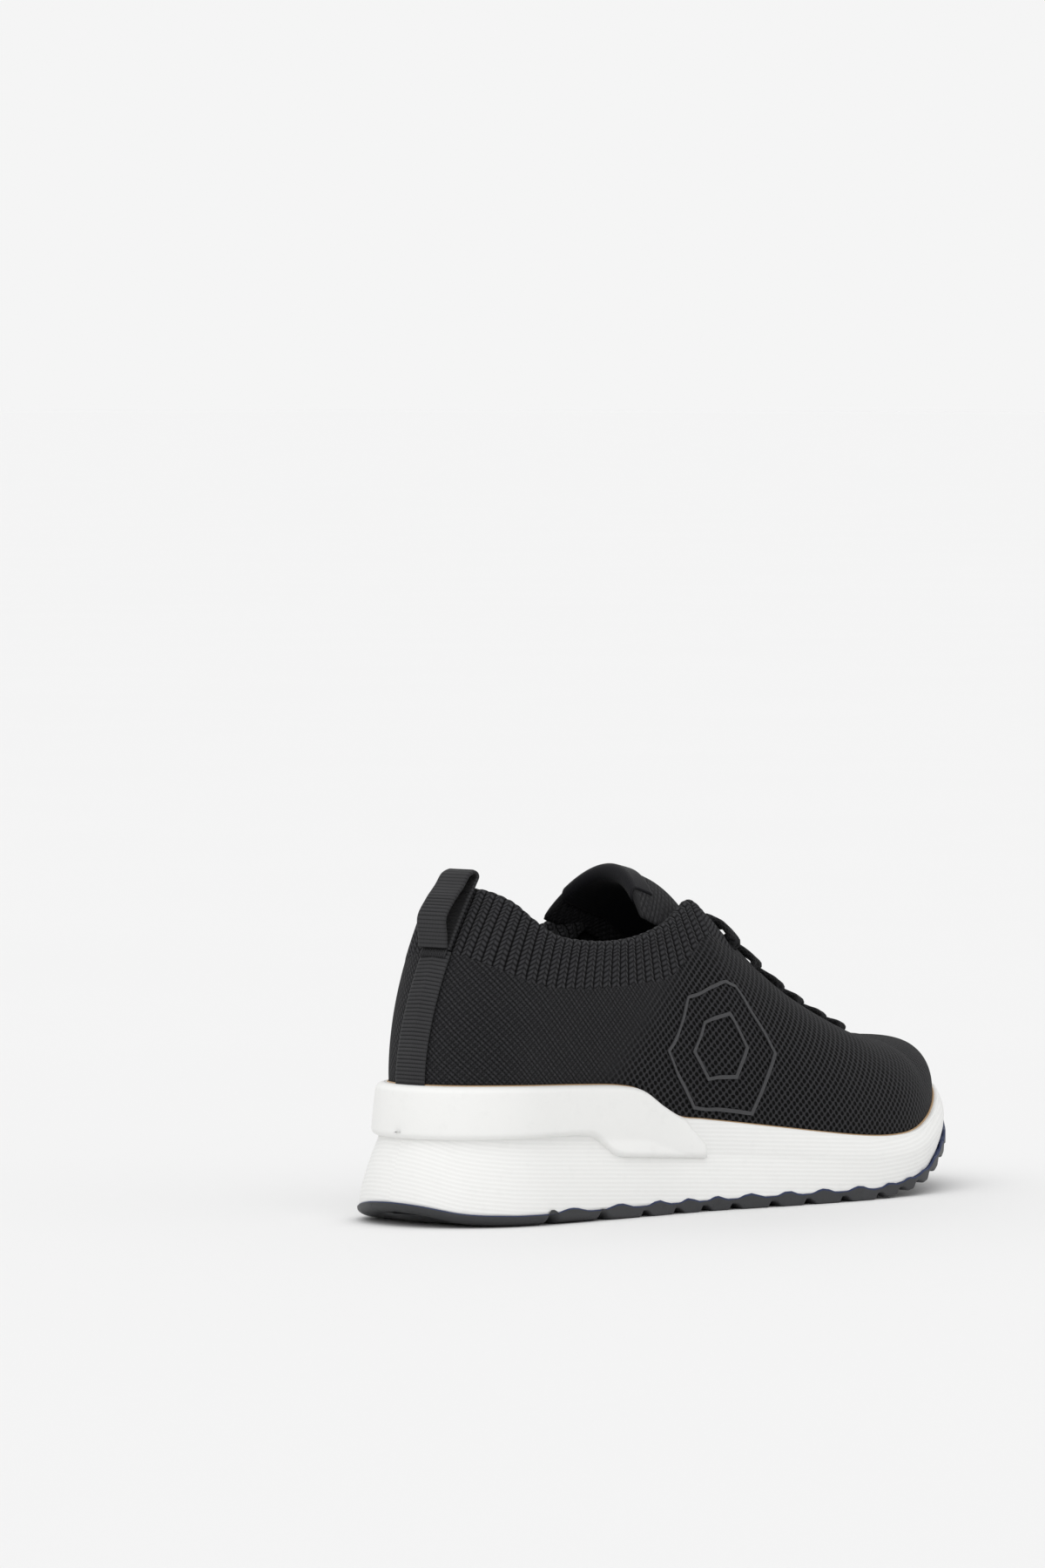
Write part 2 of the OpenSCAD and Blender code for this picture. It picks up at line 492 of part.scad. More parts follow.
function tongue_point(k, b, depth) =
    let (way = tongue_way(k), y = b * tongue_width[k])
    [tongue_line[k][0] - depth * way[1] - tongue_sweep(k) * y * y, middle(tongue_line[k][0]) + y,
     tongue_line[k][1] + depth * way[0] - tongue_arch * y * y];
function tongue_strip(k, depth, past = 0) =
    [for (b = [0:tongue_rows]) tongue_point(k, 1 - 2 * b / tongue_rows, depth)
        + past * [tongue_way(k)[0], 0, tongue_way(k)[1]]];
module tongue() {
    color(charcoal) slab([for (k = [0:tongue_n]) tongue_strip(k, 0)],
                         [for (k = [0:tongue_n]) tongue_strip(k, tongue_t)]);
}
// The smooth panel covers all but the outer strips of the tongue
function wrap_strip(k, depth, past = 0) =
    let (all = tongue_strip(k, depth, past)) [for (b = [tongue_rows - 1:-1:1]) all[b]];
// Its path runs up the inner face, over the top edge and down the outer face
function wrap_sheet(out) =
    concat([for (k = [tongue_n - 3:tongue_n - 1]) wrap_strip(k, tongue_t + out)],
           [wrap_strip(tongue_n, tongue_t + out, out), wrap_strip(tongue_n, -out, out),
            wrap_strip(tongue_n - 1, -out)]);
module tongue_wrap() {
    color(lining_black) slab(wrap_sheet(fabric_gap + wrap_t), wrap_sheet(fabric_gap));
}

// ---- Lace: one flat cord that climbs the throat in straight bars ----
under_depth = knit_t + lace_gap + lace_t / 2;
lace_lift = lace_t / 2 + lace_gap;
lace_sides = 8;
function start_side(k) = k % 2 == 0 ? -1 : 1;
function throat_way(k) =
    let (a = max(k - 1, 0), b = min(k + 1, bars - 1))
    unit(eyelet(b, -1) + eyelet(b, 1) - eyelet(a, -1) - eyelet(a, 1));
function outward(k, side) = side * unit(cross(eyelet_normal(k, side), throat_way(k)));
// A station of the cord: its place, the way it runs and the way its width lies
function rise(k, side, turn) =
    let (e = eyelet(k, side), n = eyelet_normal(k, side), flat = turn * throat_way(k),
         out = outward(k, side), c = -out)
    [[e - under_depth * n, unit(n + throat_way(k)), out],
     [e - 0.3 * knit_t * n, n, unit(out + flat)],
     [e + (lace_lift - 0.2) * n + 0.5 * c, unit(n + c), flat]];
function flip(stations) =
    [for (k = [len(stations) - 1:-1:0]) let (p = stations[k]) [p[0], -p[1], p[2]]];
function drop(k, side, turn) =
    let (r = flip(rise(k, side, turn)), n = eyelet_normal(k, side))
    [r[0], r[1], [r[2][0], unit(throat_way(k) - n), r[2][2]]];
function bar_top(k, side, turn) =
    let (a = upper_point(bar_turn(k, side), 1), b = upper_point(bar_turn(k, -side), 1),
         way = unit(b - a), up = unit(cross(throat_way(k), way)) * -side, w = turn * throat_way(k))
    [[a + lace_lift * unit(up + 0.4 * eyelet_normal(k, side)), way, w],
     [mix(a, b, 0.25) + (lace_lift + 1.7) * up, way, w],
     [mix(a, b, 0.5) + (lace_lift + 2.3) * up, way, w],
     [mix(a, b, 0.75) + (lace_lift + 1.7) * up, way, w],
     [b + lace_lift * unit(up + 0.4 * eyelet_normal(k, -side)), way, w]];
function bar_path(k) =
    let (side = start_side(k), turn = -side)
    concat(rise(k, side, turn), bar_top(k, side, turn), drop(k, -side, turn));
function under_station(s, side, depth = under_depth) =
    let (t = side < 0 ? s / 2 : 1 - s / 2, v = eyelet_v(t), n = surface_normal(t, v),
         way = unit(upper_point(t + 0.004 * -side, v) - upper_point(t - 0.004 * -side, v)))
    [upper_point(t, v) - depth * n, way, side * unit(cross(n, way))];
bar_step_s = (last_bar_s - first_bar_s) / (bars - 1);
tail_s = 0.018;
lace_path = concat(
    [under_station(first_bar_s - tail_s, -1), under_station(first_bar_s - 0.006, -1)],
    [for (k = [0:bars - 1]) each concat(bar_path(k),
        k < bars - 1 ? [under_station(first_bar_s + (k + 0.5) * bar_step_s, -start_side(k))] : [])],
    [under_station(last_bar_s + 0.006, -1)]);
function lace_ring(p) =
    let (w = unit(p[2] - (p[2] * p[1]) * p[1]), n = cross(w, p[1]))
    [for (i = [0:lace_sides - 1]) let (a = 360 * (i + 0.5) / lace_sides)
        p[0] + lace_w / 2 * cos(a) * w + lace_t / 2 * sin(a) * n];
function tube_faces(n, m) =
    [for (l = [0:m - 2], i = [0:n - 1])
        let (a = l * n + i, b = l * n + (i + 1) % n) each [[a, b + n, a + n], [a, b, b + n]],
     [for (i = [n - 1:-1:0]) i], [for (i = [0:n - 1]) (m - 1) * n + i]];
module lace() {
    color(charcoal) polyhedron([for (p = lace_path) each lace_ring(p)],
        tube_faces(lace_sides, len(lace_path)), convexity = 12);
}
aglet_d = 2.8;
aglet_depth = knit_t + 2 * lace_gap + glue + aglet_d / 2;
// A tip on the cord's end, under the fabric from station s0 to station s1
module aglet(s0, s1) {
    from = under_station(s0, -1, aglet_depth)[0];
    to = under_station(s1, -1, aglet_depth)[0];
    color(lining_black) translate(from) aim(unit(to - from))
        cylinder(h = norm(to - from), d = aglet_d, $fn = 16);
}
module aglet_ankle() {
    aglet(first_bar_s - tail_s - 0.001, first_bar_s - 2.15 * tail_s);
}
module aglet_toe() {
    aglet(last_bar_s + 0.007, last_bar_s + 0.026);
}

// ---- Heel webbing and pull loop ----
function tape_point(side, j, out) =
    let (c = at(0, j), p = at(side, j), f = side == 0 ? 0 : tape_w / 2 / norm(p - c),
         n = unit(mix(normals[0][j], normals[(side + ring_n) % ring_n][j], min(f, 1))))
    mix(c, p, f) + out * n;
function tape_sheet(out) =
    [for (side = [-1:1]) [for (j = [rim_row:seam_row]) tape_point(side, j, out)]];
module heel_tape() {
    color(charcoal) slab(tape_sheet(glue + tape_t), tape_sheet(glue));
}
function heel_line(j, out) = let (p = at(0, j) + out * normals[0][j]) [p[0], p[2]];
loop_base = heel_line(seam_row, fabric_gap + 1.5 * tape_t + glue);
loop_rise = collar_heel_h - loop_base[1];
// Middle of the strip as [x, z], up the outer leg, over the fold and down the inner leg
loop_line = concat(
    [loop_base, loop_base + [-0.2, 0.18 * loop_rise]],
    [for (p = [[0, 0.3, 0.5], [0.1, 3.6, 0.78], [0.3, 6.4, 1]])
        loop_base + [p[0] * loop_gap + p[1] - 0.9, p[2] * loop_rise]],
    [[at(0, row_n)[0] - 4.2, collar_heel_h + 3.9], [at(0, row_n)[0] - 1, collar_heel_h + 5],
     [at(0, row_n)[0] + 0.5, collar_heel_h + 3.3]],
    [for (j = [row_n:-1:seam_row]) heel_line(j, fabric_gap + 0.5 * tape_t)]);
function spline(p, u) =
    let (x = [for (k = [0:len(p) - 1]) [k, p[k][0]]], z = [for (k = [0:len(p) - 1]) [k, p[k][1]]])
    [curve(x, u), curve(z, u)];
function spline_way(p, u) = unit(spline(p, u + 0.02) - spline(p, u - 0.02));
function strip(p, half, steps) =
    let (n = len(p) - 1, us = [for (k = [0:steps]) mix(0.03, n - 0.03, k / steps)])
    concat([for (u = us) let (d = spline_way(p, u)) spline(p, u) + half * [-d[1], d[0]]],
           [for (k = [steps:-1:0]) let (d = spline_way(p, us[k])) spline(p, us[k]) - half * [-d[1], d[0]]]);
module pull_loop() {
    color(charcoal) translate([0, middle(loop_base[0]), 0]) rotate([90, 0, 0])
        linear_extrude(tape_w, center = true) polygon(strip(loop_line, tape_t / 2, 48));
}
// Bars of thread through the webbing, just under the loop's ends
stitch_n = 4;
stitch_step = 1.5;
stitch_d = 0.7;
stitch_out = glue + tape_t + stitch_d / 2;
module stitch_bar(k) {
    way = at(0, seam_row - 1) - at(0, seam_row);
    p = at(0, seam_row) + (k + 1) * stitch_step * unit(way);
    translate(p + stitch_out * normals[0][seam_row]) rotate([90, 0, 0])
        cylinder(h = 0.8 * tape_w, d = stitch_d, center = true, $fn = 16);
}
module loop_bartack() {
    color("dimgray") for (k = [0:stitch_n - 1]) stitch_bar(k);
}

// ---- Raised outline on the outer side: nested hexagons ----
motif_s = 0.484;
motif_v = 0.31;
motif_half_s = 0.058;
motif_half_v = 0.32;
motif_line_w = 1.4;
motif_t = 0.5;
function hexagon(u) =
    let (k = floor(u), f = u - k) mix([cos(60 * k), sin(60 * k)], [cos(60 * k + 60), sin(60 * k + 60)], f);
// A place on the knit's own facets, at turn t and a row that may lie between two rows
function facet_point(t, row) =
    let (i = floor(t * ring_n), j = floor(row), f = t * ring_n - i, g = row - j, a = at(i, j),
         b = at(i + 1, j), c = at(i + 1, j + 1), d = at(i, j + 1))
    g > f ? a + g * (d - a) + f * (c - d) : a + f * (b - a) + g * (c - b);
function motif_point(q, size, out) =
    let (s = motif_s + size * motif_half_s * q[0], v = motif_v + size * motif_half_v * q[1],
         row = rim_row + v / curve(seam_line, s) * (seam_row - rim_row))
    facet_point(s / 2, row) + out * surface_normal(s / 2, v);
motif_n = 60;
module motif_ring(size) {
    thin = motif_line_w / 25;
    ring = [for (i = [0:motif_n - 1]) let (q = hexagon(6 * i / motif_n))
        [motif_point(q, size, print_gap), motif_point(q, size - thin, print_gap),
         motif_point(q, size - thin, print_gap + motif_t),
         motif_point(q, size, print_gap + motif_t)]];
    faces = [for (i = [0:motif_n - 1], k = [0:3])
        let (a = 4 * i + k, b = 4 * i + (k + 1) % 4, c = 4 * ((i + 1) % motif_n) + (k + 1) % 4,
             d = 4 * ((i + 1) % motif_n) + k) each [[a, c, b], [a, d, c]]];
    polyhedron([for (r = ring) each r], faces, convexity = 4);
}
module side_motif() {
    color("dimgray") for (size = [1, 0.5]) motif_ring(size);
}

outsole();
midsole();
heel_panel();
strobel_board();
sock_foam();
sock_cover();
knit_upper();
rib_collar();
lining();
collar_padding();
heel_counter();
toe_puff();
lace_band_lateral();
lace_band_medial();
tongue();
tongue_wrap();
lace();
aglet_ankle();
aglet_toe();
heel_tape();
pull_loop();
loop_bartack();
side_motif();
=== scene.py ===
"""Knit running shoe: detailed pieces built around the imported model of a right-foot running shoe."""
import math
from functools import partialmethod

import bmesh
import bpy
import numpy as np
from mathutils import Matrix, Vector


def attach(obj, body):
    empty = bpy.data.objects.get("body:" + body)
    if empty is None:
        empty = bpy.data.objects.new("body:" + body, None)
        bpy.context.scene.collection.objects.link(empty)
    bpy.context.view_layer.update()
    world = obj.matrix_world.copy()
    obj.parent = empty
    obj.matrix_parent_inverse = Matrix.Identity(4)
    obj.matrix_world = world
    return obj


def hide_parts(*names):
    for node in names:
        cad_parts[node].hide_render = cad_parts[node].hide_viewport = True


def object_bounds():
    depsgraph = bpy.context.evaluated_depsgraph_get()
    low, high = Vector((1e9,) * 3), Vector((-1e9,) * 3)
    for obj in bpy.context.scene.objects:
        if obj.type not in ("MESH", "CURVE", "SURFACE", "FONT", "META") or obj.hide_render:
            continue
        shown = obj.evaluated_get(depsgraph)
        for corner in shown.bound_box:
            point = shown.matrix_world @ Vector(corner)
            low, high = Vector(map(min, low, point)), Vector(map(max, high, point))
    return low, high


bl_info = {
    "name": "Knit running shoe",
    "version": (1, 0, 0),
    "blender": (4, 5, 0),
    "location": "3D View > Sidebar > Shoe",
    "description": "Builds the knit upper, foam sole, lace and webbing of a running shoe",
    "category": "Object",
}

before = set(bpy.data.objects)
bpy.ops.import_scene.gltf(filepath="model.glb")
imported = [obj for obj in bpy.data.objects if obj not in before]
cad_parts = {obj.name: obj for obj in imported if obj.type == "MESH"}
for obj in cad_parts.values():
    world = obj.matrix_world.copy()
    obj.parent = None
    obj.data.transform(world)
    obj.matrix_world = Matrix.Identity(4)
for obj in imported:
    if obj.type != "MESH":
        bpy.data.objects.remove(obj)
CAD_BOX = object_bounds()

MM = 0.001
CLOTH = "cloth"  # UV map in millimetres of cloth

# ---- Shape of the shoe, in millimetres, as the model has it ----
ROWS = 12
SEAM_ROW = 8
RIM_ROW = 2
COLLAR_END = 17 / 64
VAMP_START = 25 / 64
KNIT_T = 1.8
GLUE = 0.1
LINING_T = 0.8
PADDING_T = 2.6
OUTSOLE_T = 4.0
TOE_SPRING = 23.0
HEEL_WALL, WAIST_WALL, BALL_WALL = 49.0, 32.6, 22.4
HEEL_BED, BALL_BED = 33.0, 16.8
HEEL_FLARE = 7.0
RIM_W = 1.8
PANEL_T = 2.6
COLLAR_HEEL, COLLAR_SIDE, COLLAR_FRONT = 119.0, 99.0, 112.0
VAMP_H, TOE_H = 57.4, 51.0
COLLAR_HALF_W, THROAT_HALF_W = 30.0, 15.0
RIB_HEEL, RIB_SIDE = 23.0, 17.0
GROOVE_DEPTH, GROOVE_W, LUG_PITCH = 2.2, 7.5, 13.6
LACE_W, LACE_T, EYELET_D, EYELET_INSET = 7.0, 2.6, 7.6, 6.5
BARS, FIRST_BAR, LAST_BAR = 6, 0.542, 0.708
TONGUE_T, TONGUE_HALF_W, TONGUE_ARCH = 4.5, 25.0, 0.029
WRAP_T, FABRIC_GAP = 0.8, 0.35
TAPE_W, TAPE_T, LOOP_GAP = 14.0, 1.4, 9.0


def mix(a, b, f):
    return a + (b - a) * f


def unit(v):
    v = np.asarray(v, float)
    return v / np.maximum(np.linalg.norm(v, axis=-1, keepdims=True), 1e-12)


def curve(stations, x):
    """A smooth cubic through stations of [place, value]."""
    p = np.asarray(stations, float)
    px, py = p[:, 0], p[:, 1]
    n = len(px)
    lo, hi = np.maximum(np.arange(n) - 1, 0), np.minimum(np.arange(n) + 1, n - 1)
    rate = (py[hi] - py[lo]) / (px[hi] - px[lo])
    x = np.clip(np.asarray(x, float), px[0], px[-1])
    k = np.clip(np.searchsorted(px, x, side="right") - 1, 0, n - 2)
    h = px[k + 1] - px[k]
    t = (x - px[k]) / h
    return ((2 * t**3 - 3 * t**2 + 1) * py[k] + (t**3 - 2 * t**2 + t) * h * rate[k]
            + (3 * t**2 - 2 * t**3) * py[k + 1] + (t**3 - t**2) * h * rate[k + 1])


def spline(points, u):
    """A smooth line through points; u counts them."""
    points = np.asarray(points, float)
    places = np.arange(len(points))
    return np.stack([curve(np.stack([places, values], -1), u) for values in points.T], -1)


def smooth(x, lo, hi):
    """0 below lo, 1 above hi, and smooth between them."""
    f = np.clip((np.asarray(x, float) - lo) / (hi - lo), 0, 1)
    return f * f * (3 - 2 * f)


def sind(a):
    return np.sin(np.radians(a))


def cosd(a):
    return np.cos(np.radians(a))


HALF_L = round((CAD_BOX[1][0] - CAD_BOX[0][0]) / MM) / 2
BALL, HEEL, WAIST = 101.0, 78.0, 74.0
HALF_WIDTH = [[-1, 0.474 * HEEL], [-0.737, HEEL / 2], [-0.4, WAIST / 2], [-0.133, WAIST / 2],
              [0.133, (WAIST + BALL) / 4], [0.365, 0.49 * BALL], [0.59, 0.505 * BALL],
              [0.8, 0.475 * BALL], [1, 0.416 * BALL]]
CENTRE = [[-1, 0], [-0.737, 0], [-0.4, -0.025 * BALL], [-0.133, -0.035 * BALL],
          [0.133, -0.03 * BALL], [0.365, -0.01 * BALL], [0.6, 0.015 * BALL], [0.8, 0.05 * BALL],
          [1, 0.08 * BALL]]
HEEL_ROUND, TOE_ROUND = 0.31 * HALF_L, 0.45 * HALF_L


def taper(x):
    def end(d, p):
        return np.maximum(0, 1 - np.maximum(0, d) ** p) ** (1 / p)
    return (end((-HALF_L + HEEL_ROUND - x) / HEEL_ROUND, 2.15)
            * end((x - HALF_L + TOE_ROUND) / TOE_ROUND, 2.05))


def along(t):
    t = np.asarray(t, float) % 1.0
    return np.where(t <= 0.5, 2 * t, 2 * (1 - t))


def hand(t):
    return np.where(np.asarray(t, float) % 1.0 <= 0.5, -1.0, 1.0)


def raw_plan(t):
    x = -HALF_L * cosd(180 * along(t))
    y = curve(CENTRE, x / HALF_L) + hand(t) * curve(HALF_WIDTH, x / HALF_L) * taper(x)
    return np.stack([x, y], -1)


RAW_Y = raw_plan(np.arange(64) / 64)[:, 1]
CENTRE_SHIFT = -(RAW_Y.max() + RAW_Y.min()) / 2


def plan(t):
    return raw_plan(t) + [0, CENTRE_SHIFT]


def plan_normal(t):
    t = np.asarray(t, float)
    d = plan(t + 0.002) - plan(t - 0.002)
    return unit(np.stack([d[..., 1], -d[..., 0]], -1))


def inset(t, by):
    return plan(t) - np.asarray(by, float)[..., None] * plan_normal(t)


def raised(p, z):
    """Points of the plan with a height."""
    return np.concatenate([p, np.broadcast_to(z, p.shape[:-1])[..., None]], -1)


def middle(x):
    return curve(CENTRE, np.asarray(x, float) / HALF_L) + CENTRE_SHIFT


GROUND = [[-1, 4.5], [-0.926, 1.2], [-0.807, 0], [-0.8, 0], [0.4, 0], [0.42, 0],
          [0.547, 0.096 * TOE_SPRING], [0.639, 0.23 * TOE_SPRING], [0.716, 0.426 * TOE_SPRING],
          [0.8, 0.622 * TOE_SPRING], [0.863, 0.752 * TOE_SPRING], [1, TOE_SPRING]]
WALL = [[-1, HEEL_WALL + 0.5], [-0.765, HEEL_WALL], [-0.49, HEEL_WALL - 1.4],
        [-0.386, HEEL_WALL - 2.4], [-0.316, HEEL_WALL - 4.5], [-0.246, WAIST_WALL + 5.9],
        [-0.182, WAIST_WALL + 1.4], [-0.112, WAIST_WALL],
        [0.112, mix(WAIST_WALL, BALL_WALL, 0.42)], [0.35, BALL_WALL + 1.6], [0.5, BALL_WALL],
        [0.625, BALL_WALL + 0.04 * TOE_SPRING], [0.744, BALL_WALL + 0.21 * TOE_SPRING],
        [0.814, BALL_WALL + 0.36 * TOE_SPRING], [0.87, BALL_WALL + 0.51 * TOE_SPRING],
        [1, BALL_WALL + 0.72 * TOE_SPRING]]
BED = [[-1, HEEL_BED], [-0.765, HEEL_BED], [-0.42, HEEL_BED - 1.5],
       [-0.14, mix(HEEL_BED, BALL_BED, 0.45)], [0.112, mix(HEEL_BED, BALL_BED, 0.76)],
       [0.35, BALL_BED + 0.8], [0.526, BALL_BED], [0.667, BALL_BED + 0.07 * TOE_SPRING],
       [0.807, BALL_BED + 0.31 * TOE_SPRING], [1, BALL_BED + 0.66 * TOE_SPRING]]
TOP_INSET = [[-1, 9.5], [-0.4, 8.5], [0, 6.5], [0.3, 5], [0.7, 4], [1, 2.2]]
FLARE = [[-1, HEEL_FLARE], [-0.6, HEEL_FLARE], [-0.13, 0.7 * HEEL_FLARE], [0.35, 1.2], [1, 0]]
TOE_TUCK = [[-1, 0], [0.4, 0], [1, 2.5]]


def ground_z(x):
    return np.maximum(0, curve(GROUND, x / HALF_L))


def wall_z(x):
    return curve(WALL, x / HALF_L)


def bed_z(x):
    return curve(BED, x / HALF_L)


def foam_z(x):
    return ground_z(x) + OUTSOLE_T + GLUE


def top_inset(x):
    return curve(TOP_INSET, x / HALF_L)


def wall_inset(x, w):
    """Inset of the foam's side wall at share w of its height."""
    f, tuck = curve(FLARE, x / HALF_L), curve(TOE_TUCK, x / HALF_L)
    return (0.5 + f * np.minimum(w / 0.55, 1) ** 1.5 + tuck * np.maximum(0, 1 - w / 0.5) ** 2
            + (top_inset(x) - 0.5 - f) * np.maximum(0, (w - 0.55) / 0.45) ** 1.5)


def wall_at(t, z, out=0.0):
    """The point of the foam's side wall at height z."""
    x = plan(t)[..., 0]
    low, high = foam_z(x), wall_z(x)
    return raised(inset(t, wall_inset(x, np.clip((z - low) / (high - low), 0, 1)) - out), z)


TOP_X = [[0, -0.73], [0.05, -0.724], [0.1, -0.716], [0.15, -0.702], [0.2, -0.667],
         [0.25, -0.607], [0.3, -0.526], [0.35, -0.428], [0.4, -0.323], [0.45, -0.228],
         [0.48, -0.165], [0.5, -0.112], [0.52, -0.04], [0.55, 0.063], [0.6, 0.196],
         [0.65, 0.33], [0.7, 0.463], [0.73, 0.547], [0.76, 0.6], [0.78, 0.621], [0.84, 0.68],
         [0.9, 0.76], [0.95, 0.83], [1, 0.895]]
COLLAR_W = [[s, w * COLLAR_HALF_W] for s, w in
            [[0, 0], [0.05, 0.3], [0.1, 0.55], [0.15, 0.767], [0.2, 0.893], [0.25, 0.967],
             [0.3, 1], [0.35, 1], [0.4, 0.967], [0.45, 0.94], [0.48, 0.89], [0.5, 0.82]]]
THROAT_W = [[s, w * THROAT_HALF_W] for s, w in
            [[0.5, 1.64], [0.52, 1.42], [0.55, 1.187], [0.6, 1.087], [0.65, 1.02],
             [0.7, 0.973], [0.73, 0.907], [0.76, 0.6], [0.78, 0], [1, 0]]]
TOP_Z = [[0, COLLAR_HEEL], [0.05, COLLAR_HEEL - 0.8], [0.1, COLLAR_HEEL - 2.8],
         [0.15, COLLAR_HEEL - 6.2], [0.2, COLLAR_SIDE + 8.5], [0.25, COLLAR_SIDE + 3],
         [0.3, COLLAR_SIDE + 0.6], [0.35, COLLAR_SIDE - 0.2], [0.4, COLLAR_SIDE + 1.2],
         [0.45, COLLAR_SIDE + 5.2], [0.48, COLLAR_FRONT - 2.9], [0.5, COLLAR_FRONT],
         [0.52, COLLAR_FRONT - 5.2], [0.55, COLLAR_FRONT - 14.7], [0.6, VAMP_H + 25],
         [0.65, VAMP_H + 13.6], [0.7, VAMP_H + 4.6], [0.73, VAMP_H + 1.2], [0.76, VAMP_H],
         [0.78, VAMP_H - 0.2], [0.84, VAMP_H - 1.2], [0.9, TOE_H + 4.4], [0.95, TOE_H + 2.6],
         [1, TOE_H]]
FULLNESS = [[0, 1], [0.6, 1], [0.8, 0.82], [1, 0.66]]
ROUND = [[0, 0], [0.42, 0], [0.5, 0.25], [0.6, 0.6], [0.7, 0.9], [0.76, 1], [1, 1]]
BULGE = [[0, 0], [0.15, 1], [0.3, 2.5], [0.6, 2], [0.8, 0], [1, 0]]
SEAM = [[0, 1 - RIB_HEEL / (COLLAR_HEEL - HEEL_WALL)],
        [0.15, 1 - 0.96 * RIB_HEEL / (COLLAR_HEEL - 6 - HEEL_WALL)],
        [0.3, 1 - RIB_SIDE / (COLLAR_SIDE - HEEL_WALL + 1)],
        [0.42, 1 - RIB_SIDE / (COLLAR_SIDE + 8 - HEEL_WALL)], [0.5, 0.8], [0.55, 0.78],
        [0.65, 0.78], [0.75, 0.78], [1, 0.78]]


def top_edge(t):
    s = along(t)
    x = HALF_L * curve(TOP_X, s)
    w = np.where(s < 0.5, curve(COLLAR_W, s), np.where(s < 0.78, curve(THROAT_W, s), 0))
    return np.stack([x, middle(x) + hand(t) * w, curve(TOP_Z, s)], -1)


def foot_edge(t, z):
    return raised(inset(t, top_inset(plan(t)[..., 0]) + RIM_W), z)


def rim_z(t):
    return wall_z(plan(t)[..., 0]) + 0.4


def upper_point(t, v):
    """The upper above the rim of the sole, from v = 0 at the rim to v = 1 at its top edge."""
    t, v = np.broadcast_arrays(np.asarray(t, float), np.asarray(v, float))
    s = along(t)
    a, b = foot_edge(t, rim_z(t)), top_edge(t)
    r, q = curve(ROUND, s), curve(FULLNESS, s)
    v = np.maximum(v, 0)
    h = mix(v**1.7, 1 - np.maximum(cosd(90 * v), 0) ** q, r)
    k = mix(v, sind(90 * v) ** q, r)
    g = curve(BULGE, s) * sind(180 * v)
    n = plan_normal(t)
    flat = mix(a[..., :2], b[..., :2], h[..., None]) + g[..., None] * n
    return raised(flat, mix(a[..., 2], b[..., 2], k))


def shell(t, row):
    """The outer face of the upper at turn t and row 0 (footbed) to ROWS (top edge)."""
    t, row = np.broadcast_arrays(np.asarray(t, float), np.asarray(row, float))
    seam = curve(SEAM, along(t))
    bed = bed_z(foot_edge(t, 0.0)[..., 0]) + GLUE
    wall = foot_edge(t, mix(bed, rim_z(t), np.minimum(row / RIM_ROW, 1)))
    v = np.where(row <= SEAM_ROW, seam * (row - RIM_ROW) / (SEAM_ROW - RIM_ROW),
                 mix(seam, 1, (row - SEAM_ROW) / (ROWS - SEAM_ROW)))
    return np.where((row < RIM_ROW)[..., None], wall, upper_point(t, v))


def shell_normal(t, row):
    t, row = np.broadcast_arrays(np.asarray(t, float), np.asarray(row, float))
    side = shell(t + 0.003, row) - shell(t - 0.003, row)
    up = shell(t, np.minimum(row + 0.15, ROWS)) - shell(t, np.maximum(row - 0.15, 0))
    n = unit(np.cross(side, up))
    ridge = (row > ROWS - 1e-6) & (along(t) > 2 * VAMP_START - 1e-6)
    n[..., 1] = np.where(ridge, 0, n[..., 1])
    return unit(n)


def arc_lengths(points):
    """Running length along a row of points."""
    d = np.linalg.norm(np.diff(points, axis=0), axis=-1)
    return np.concatenate([[0], np.cumsum(d)])


TURNS = np.linspace(0, 1, 801)
MID_ARC = arc_lengths(shell(TURNS, 5.0))
TOP_ARC = arc_lengths(shell(TURNS, 10.0))
FOOT_ARC = arc_lengths(plan(TURNS))
LEVELS = np.linspace(0, ROWS, 61)
UP_ARC = np.array([arc_lengths(shell(np.full(61, t), LEVELS)) for t in np.linspace(0, 1, 201)])


def cloth_uv(t, row):
    """Millimetres along the upper and up it."""
    t, row = np.broadcast_arrays(np.asarray(t, float), np.asarray(row, float))
    i = np.clip(t * 200, 0, 199.999)
    j = np.clip(row * 5, 0, 59.999)
    i0, j0 = i.astype(int), j.astype(int)
    fi, fj = i - i0, j - j0
    up = mix(mix(UP_ARC[i0, j0], UP_ARC[i0 + 1, j0], fi),
             mix(UP_ARC[i0, j0 + 1], UP_ARC[i0 + 1, j0 + 1], fi), fj)
    return np.stack([np.interp(t, TURNS, MID_ARC), up], -1)


# ---- Making meshes ----
def nearest(share, count):
    """The grid line at a share of the way."""
    return np.round(share * count).astype(int)


def grid_mesh(cols, rows, place, uv=None, keep=None):
    """A square grid moved onto a surface. place and uv take shares a and b of the two sides."""
    bm = bmesh.new()
    bmesh.ops.create_grid(bm, x_segments=cols, y_segments=rows, size=0.5)
    ab = np.array([v.co[:2] for v in bm.verts]) + 0.5
    a, b = nearest(ab[:, 0], cols) / cols, nearest(ab[:, 1], rows) / rows
    points = place(a, b) * MM
    marks = np.stack([a, b], -1) if uv is None else uv(a, b)
    layer = bm.loops.layers.uv.new(CLOTH)
    for face in bm.faces:
        face.smooth = True
        for loop in face.loops:
            loop[layer].uv = marks[loop.vert.index]
    if keep is not None:
        stay = keep(a, b)
        out = [f for f in bm.faces if not all(stay[v.index] for v in f.verts)]
    for v, p in zip(bm.verts, points):
        v.co = p
    if keep is not None:
        bmesh.ops.delete(bm, geom=out, context="FACES")
    bmesh.ops.remove_doubles(bm, verts=bm.verts, dist=2e-6)
    bmesh.ops.dissolve_degenerate(bm, dist=1e-6, edges=bm.edges)
    return bm


